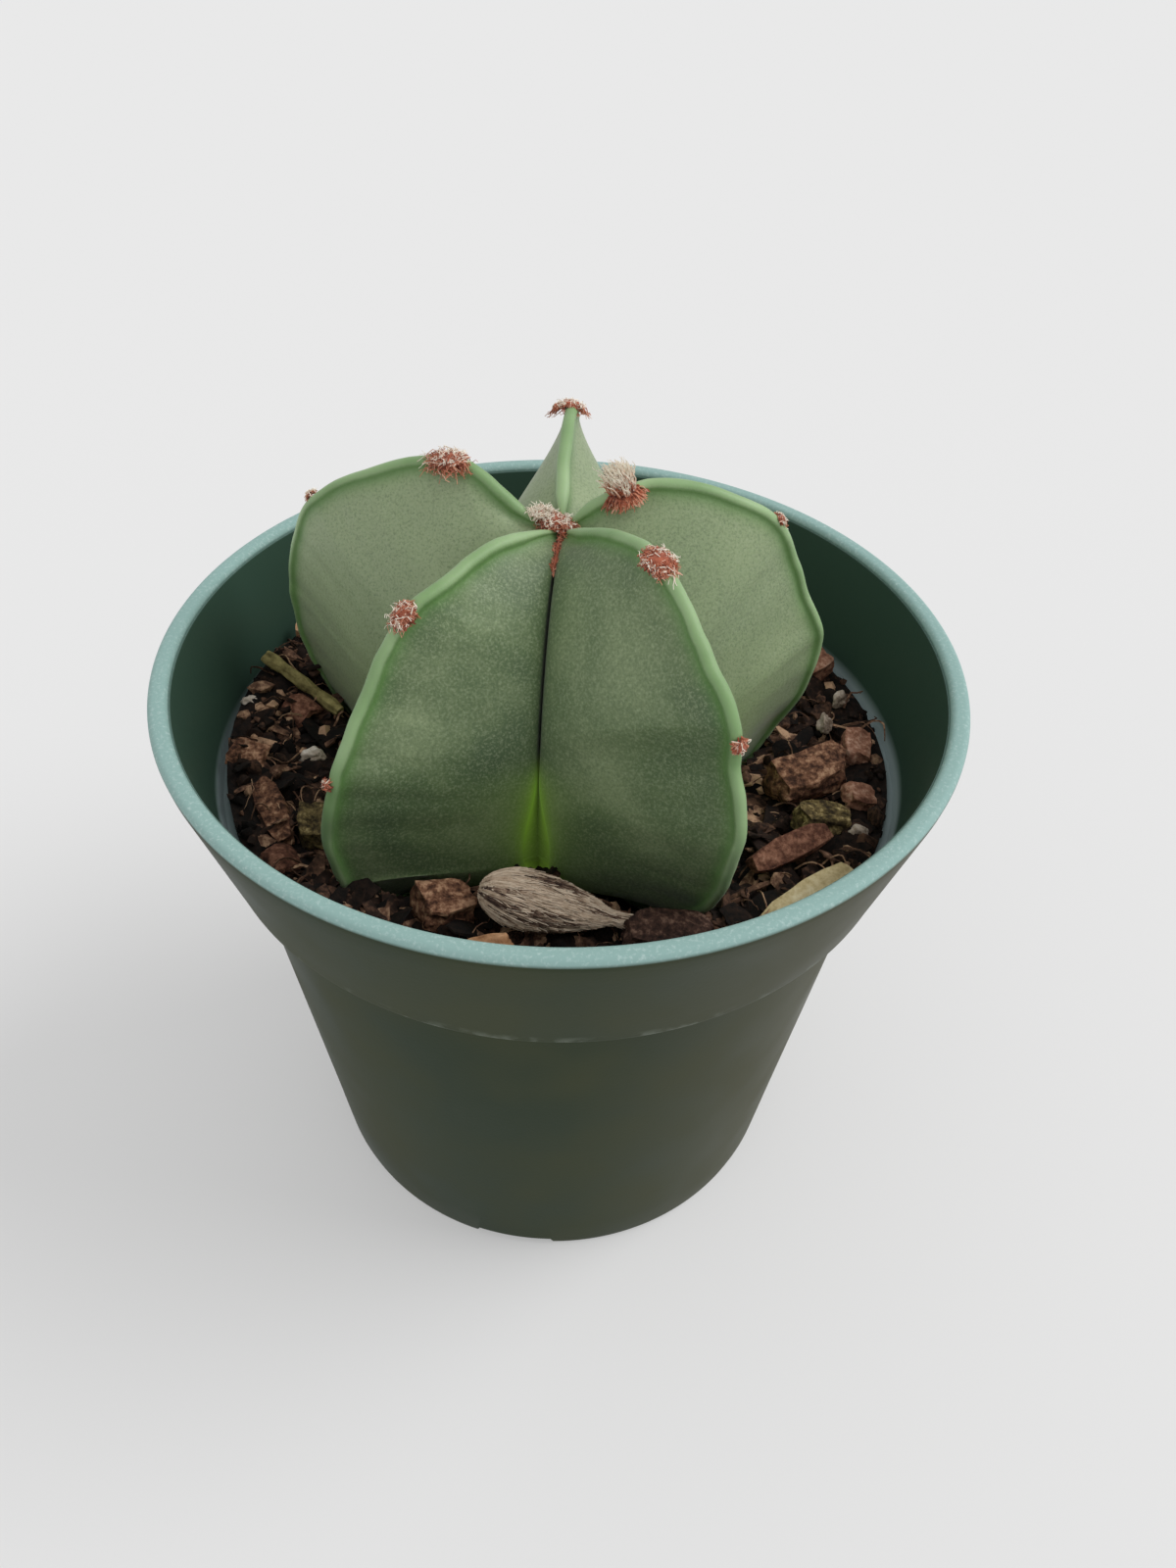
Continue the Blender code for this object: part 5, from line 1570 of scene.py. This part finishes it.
@dataclass
class Studio:
    """Pale floor, soft light from the right, and a hand-held camera that looks down at the pot."""

    floor: str = "bebebe"
    floor_glow: float = 0.3
    floor_size: float = 8000.0
    sky: float = 0.67
    key: float = 1.5
    key_angle: float = 40.0
    key_from: tuple = (0.85, 0.15, 0.82)
    camera_at: tuple = (4.009, -130.298, 183.188)
    camera_down: float = 42.36
    camera_roll: float = 2.406
    lens: float = 28.125
    sensor: float = 36.0

    def build(self) -> None:
        """Set up the floor, the light and the camera."""
        self.paper()
        self.light()
        self.camera()
        bpy.context.scene.view_settings.view_transform = "Standard"

    def paper(self) -> None:
        """Lay a sheet of matt paper under the pot, glowing a little so that it looks even."""
        half = self.floor_size / 2 * MM
        mesh = bpy.data.meshes.new("floor")
        mesh.from_pydata([(-half, -half, 0), (half, -half, 0), (half, half, 0), (-half, half, 0)], [],
                         [(0, 1, 2, 3)])
        material, _, _ = new_material("studio_paper", {
            "Roughness": 0.95, "Metallic": 0.0, "Specular IOR Level": 0.0,
            "Base Color": linear(self.floor), "Emission Color": linear("ffffff"),
            "Emission Strength": self.floor_glow})
        mesh.materials.append(material)
        floor = bpy.data.objects.new("floor", mesh)
        bpy.context.scene.collection.objects.link(floor)

    def light(self) -> None:
        """Hang a white sky and a broad key light."""
        world = bpy.data.worlds.new("studio")
        bpy.context.scene.world = world
        world.use_nodes = True
        feed(world.node_tree.nodes["Background"], {"Color": linear("ffffff"), "Strength": self.sky})
        light = bpy.data.lights.new("key", "SUN")
        light.energy = self.key
        light.angle = math.radians(self.key_angle)
        lamp = bpy.data.objects.new("key", light)
        lamp.rotation_mode = "QUATERNION"
        lamp.rotation_quaternion = Vector(self.key_from).to_track_quat("Z", "Y")
        bpy.context.scene.collection.objects.link(lamp)

    def camera(self) -> None:
        """Stand the camera up: look along +Y, tip down, roll about the line of sight."""
        down, roll = math.radians(self.camera_down), math.radians(self.camera_roll)
        ahead = Vector((0.0, math.cos(down), -math.sin(down)))
        right = Vector((1.0, 0.0, 0.0))
        up = right.cross(ahead)
        rolled_right = right * math.cos(roll) + up * math.sin(roll)
        rolled_up = up * math.cos(roll) - right * math.sin(roll)
        view = Matrix((rolled_right, rolled_up, -ahead)).transposed().to_4x4()
        view.translation = Vector(self.camera_at) * MM
        data = bpy.data.cameras.new("camera")
        data.lens = self.lens
        data.sensor_width = self.sensor
        data.clip_start = 0.005
        data.clip_end = 30.0
        camera = bpy.data.objects.new("camera", data)
        camera.matrix_world = view
        bpy.context.scene.collection.objects.link(camera)
        bpy.context.scene.camera = camera


def main() -> None:
    """Build every piece in order."""
    logging.basicConfig(level=logging.INFO, format="%(message)s")
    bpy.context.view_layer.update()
    Studio().build()
    PotShell().build(PotPlastic().build())
    stem = RibbedStem()
    stem.build(CactusSkin().build())
    wool = WOOL.build()
    for order, tuft in enumerate(TUFTS):
        tuft.build(stem, wool, TUFT_SEED + order)
    draw = np.random.default_rng(CROWN_SEED)
    crown = [tuft.grow(*(np.array(vector) for vector in spot), draw) for tuft, *spot in CROWN_WOOL]
    CROWN_TUFT.settle(sum(crown, []), wool)
    SoilBed(stem).build(MIX.build())
    finishes = {}
    for piece in LOOSE_PIECES:
        if piece.finish.name not in finishes:
            finishes[piece.finish.name] = piece.finish.build()
        piece.build(finishes[piece.finish.name])
    DriedBloom().build(PETALS.build())


if __name__ == "__main__":
    main()
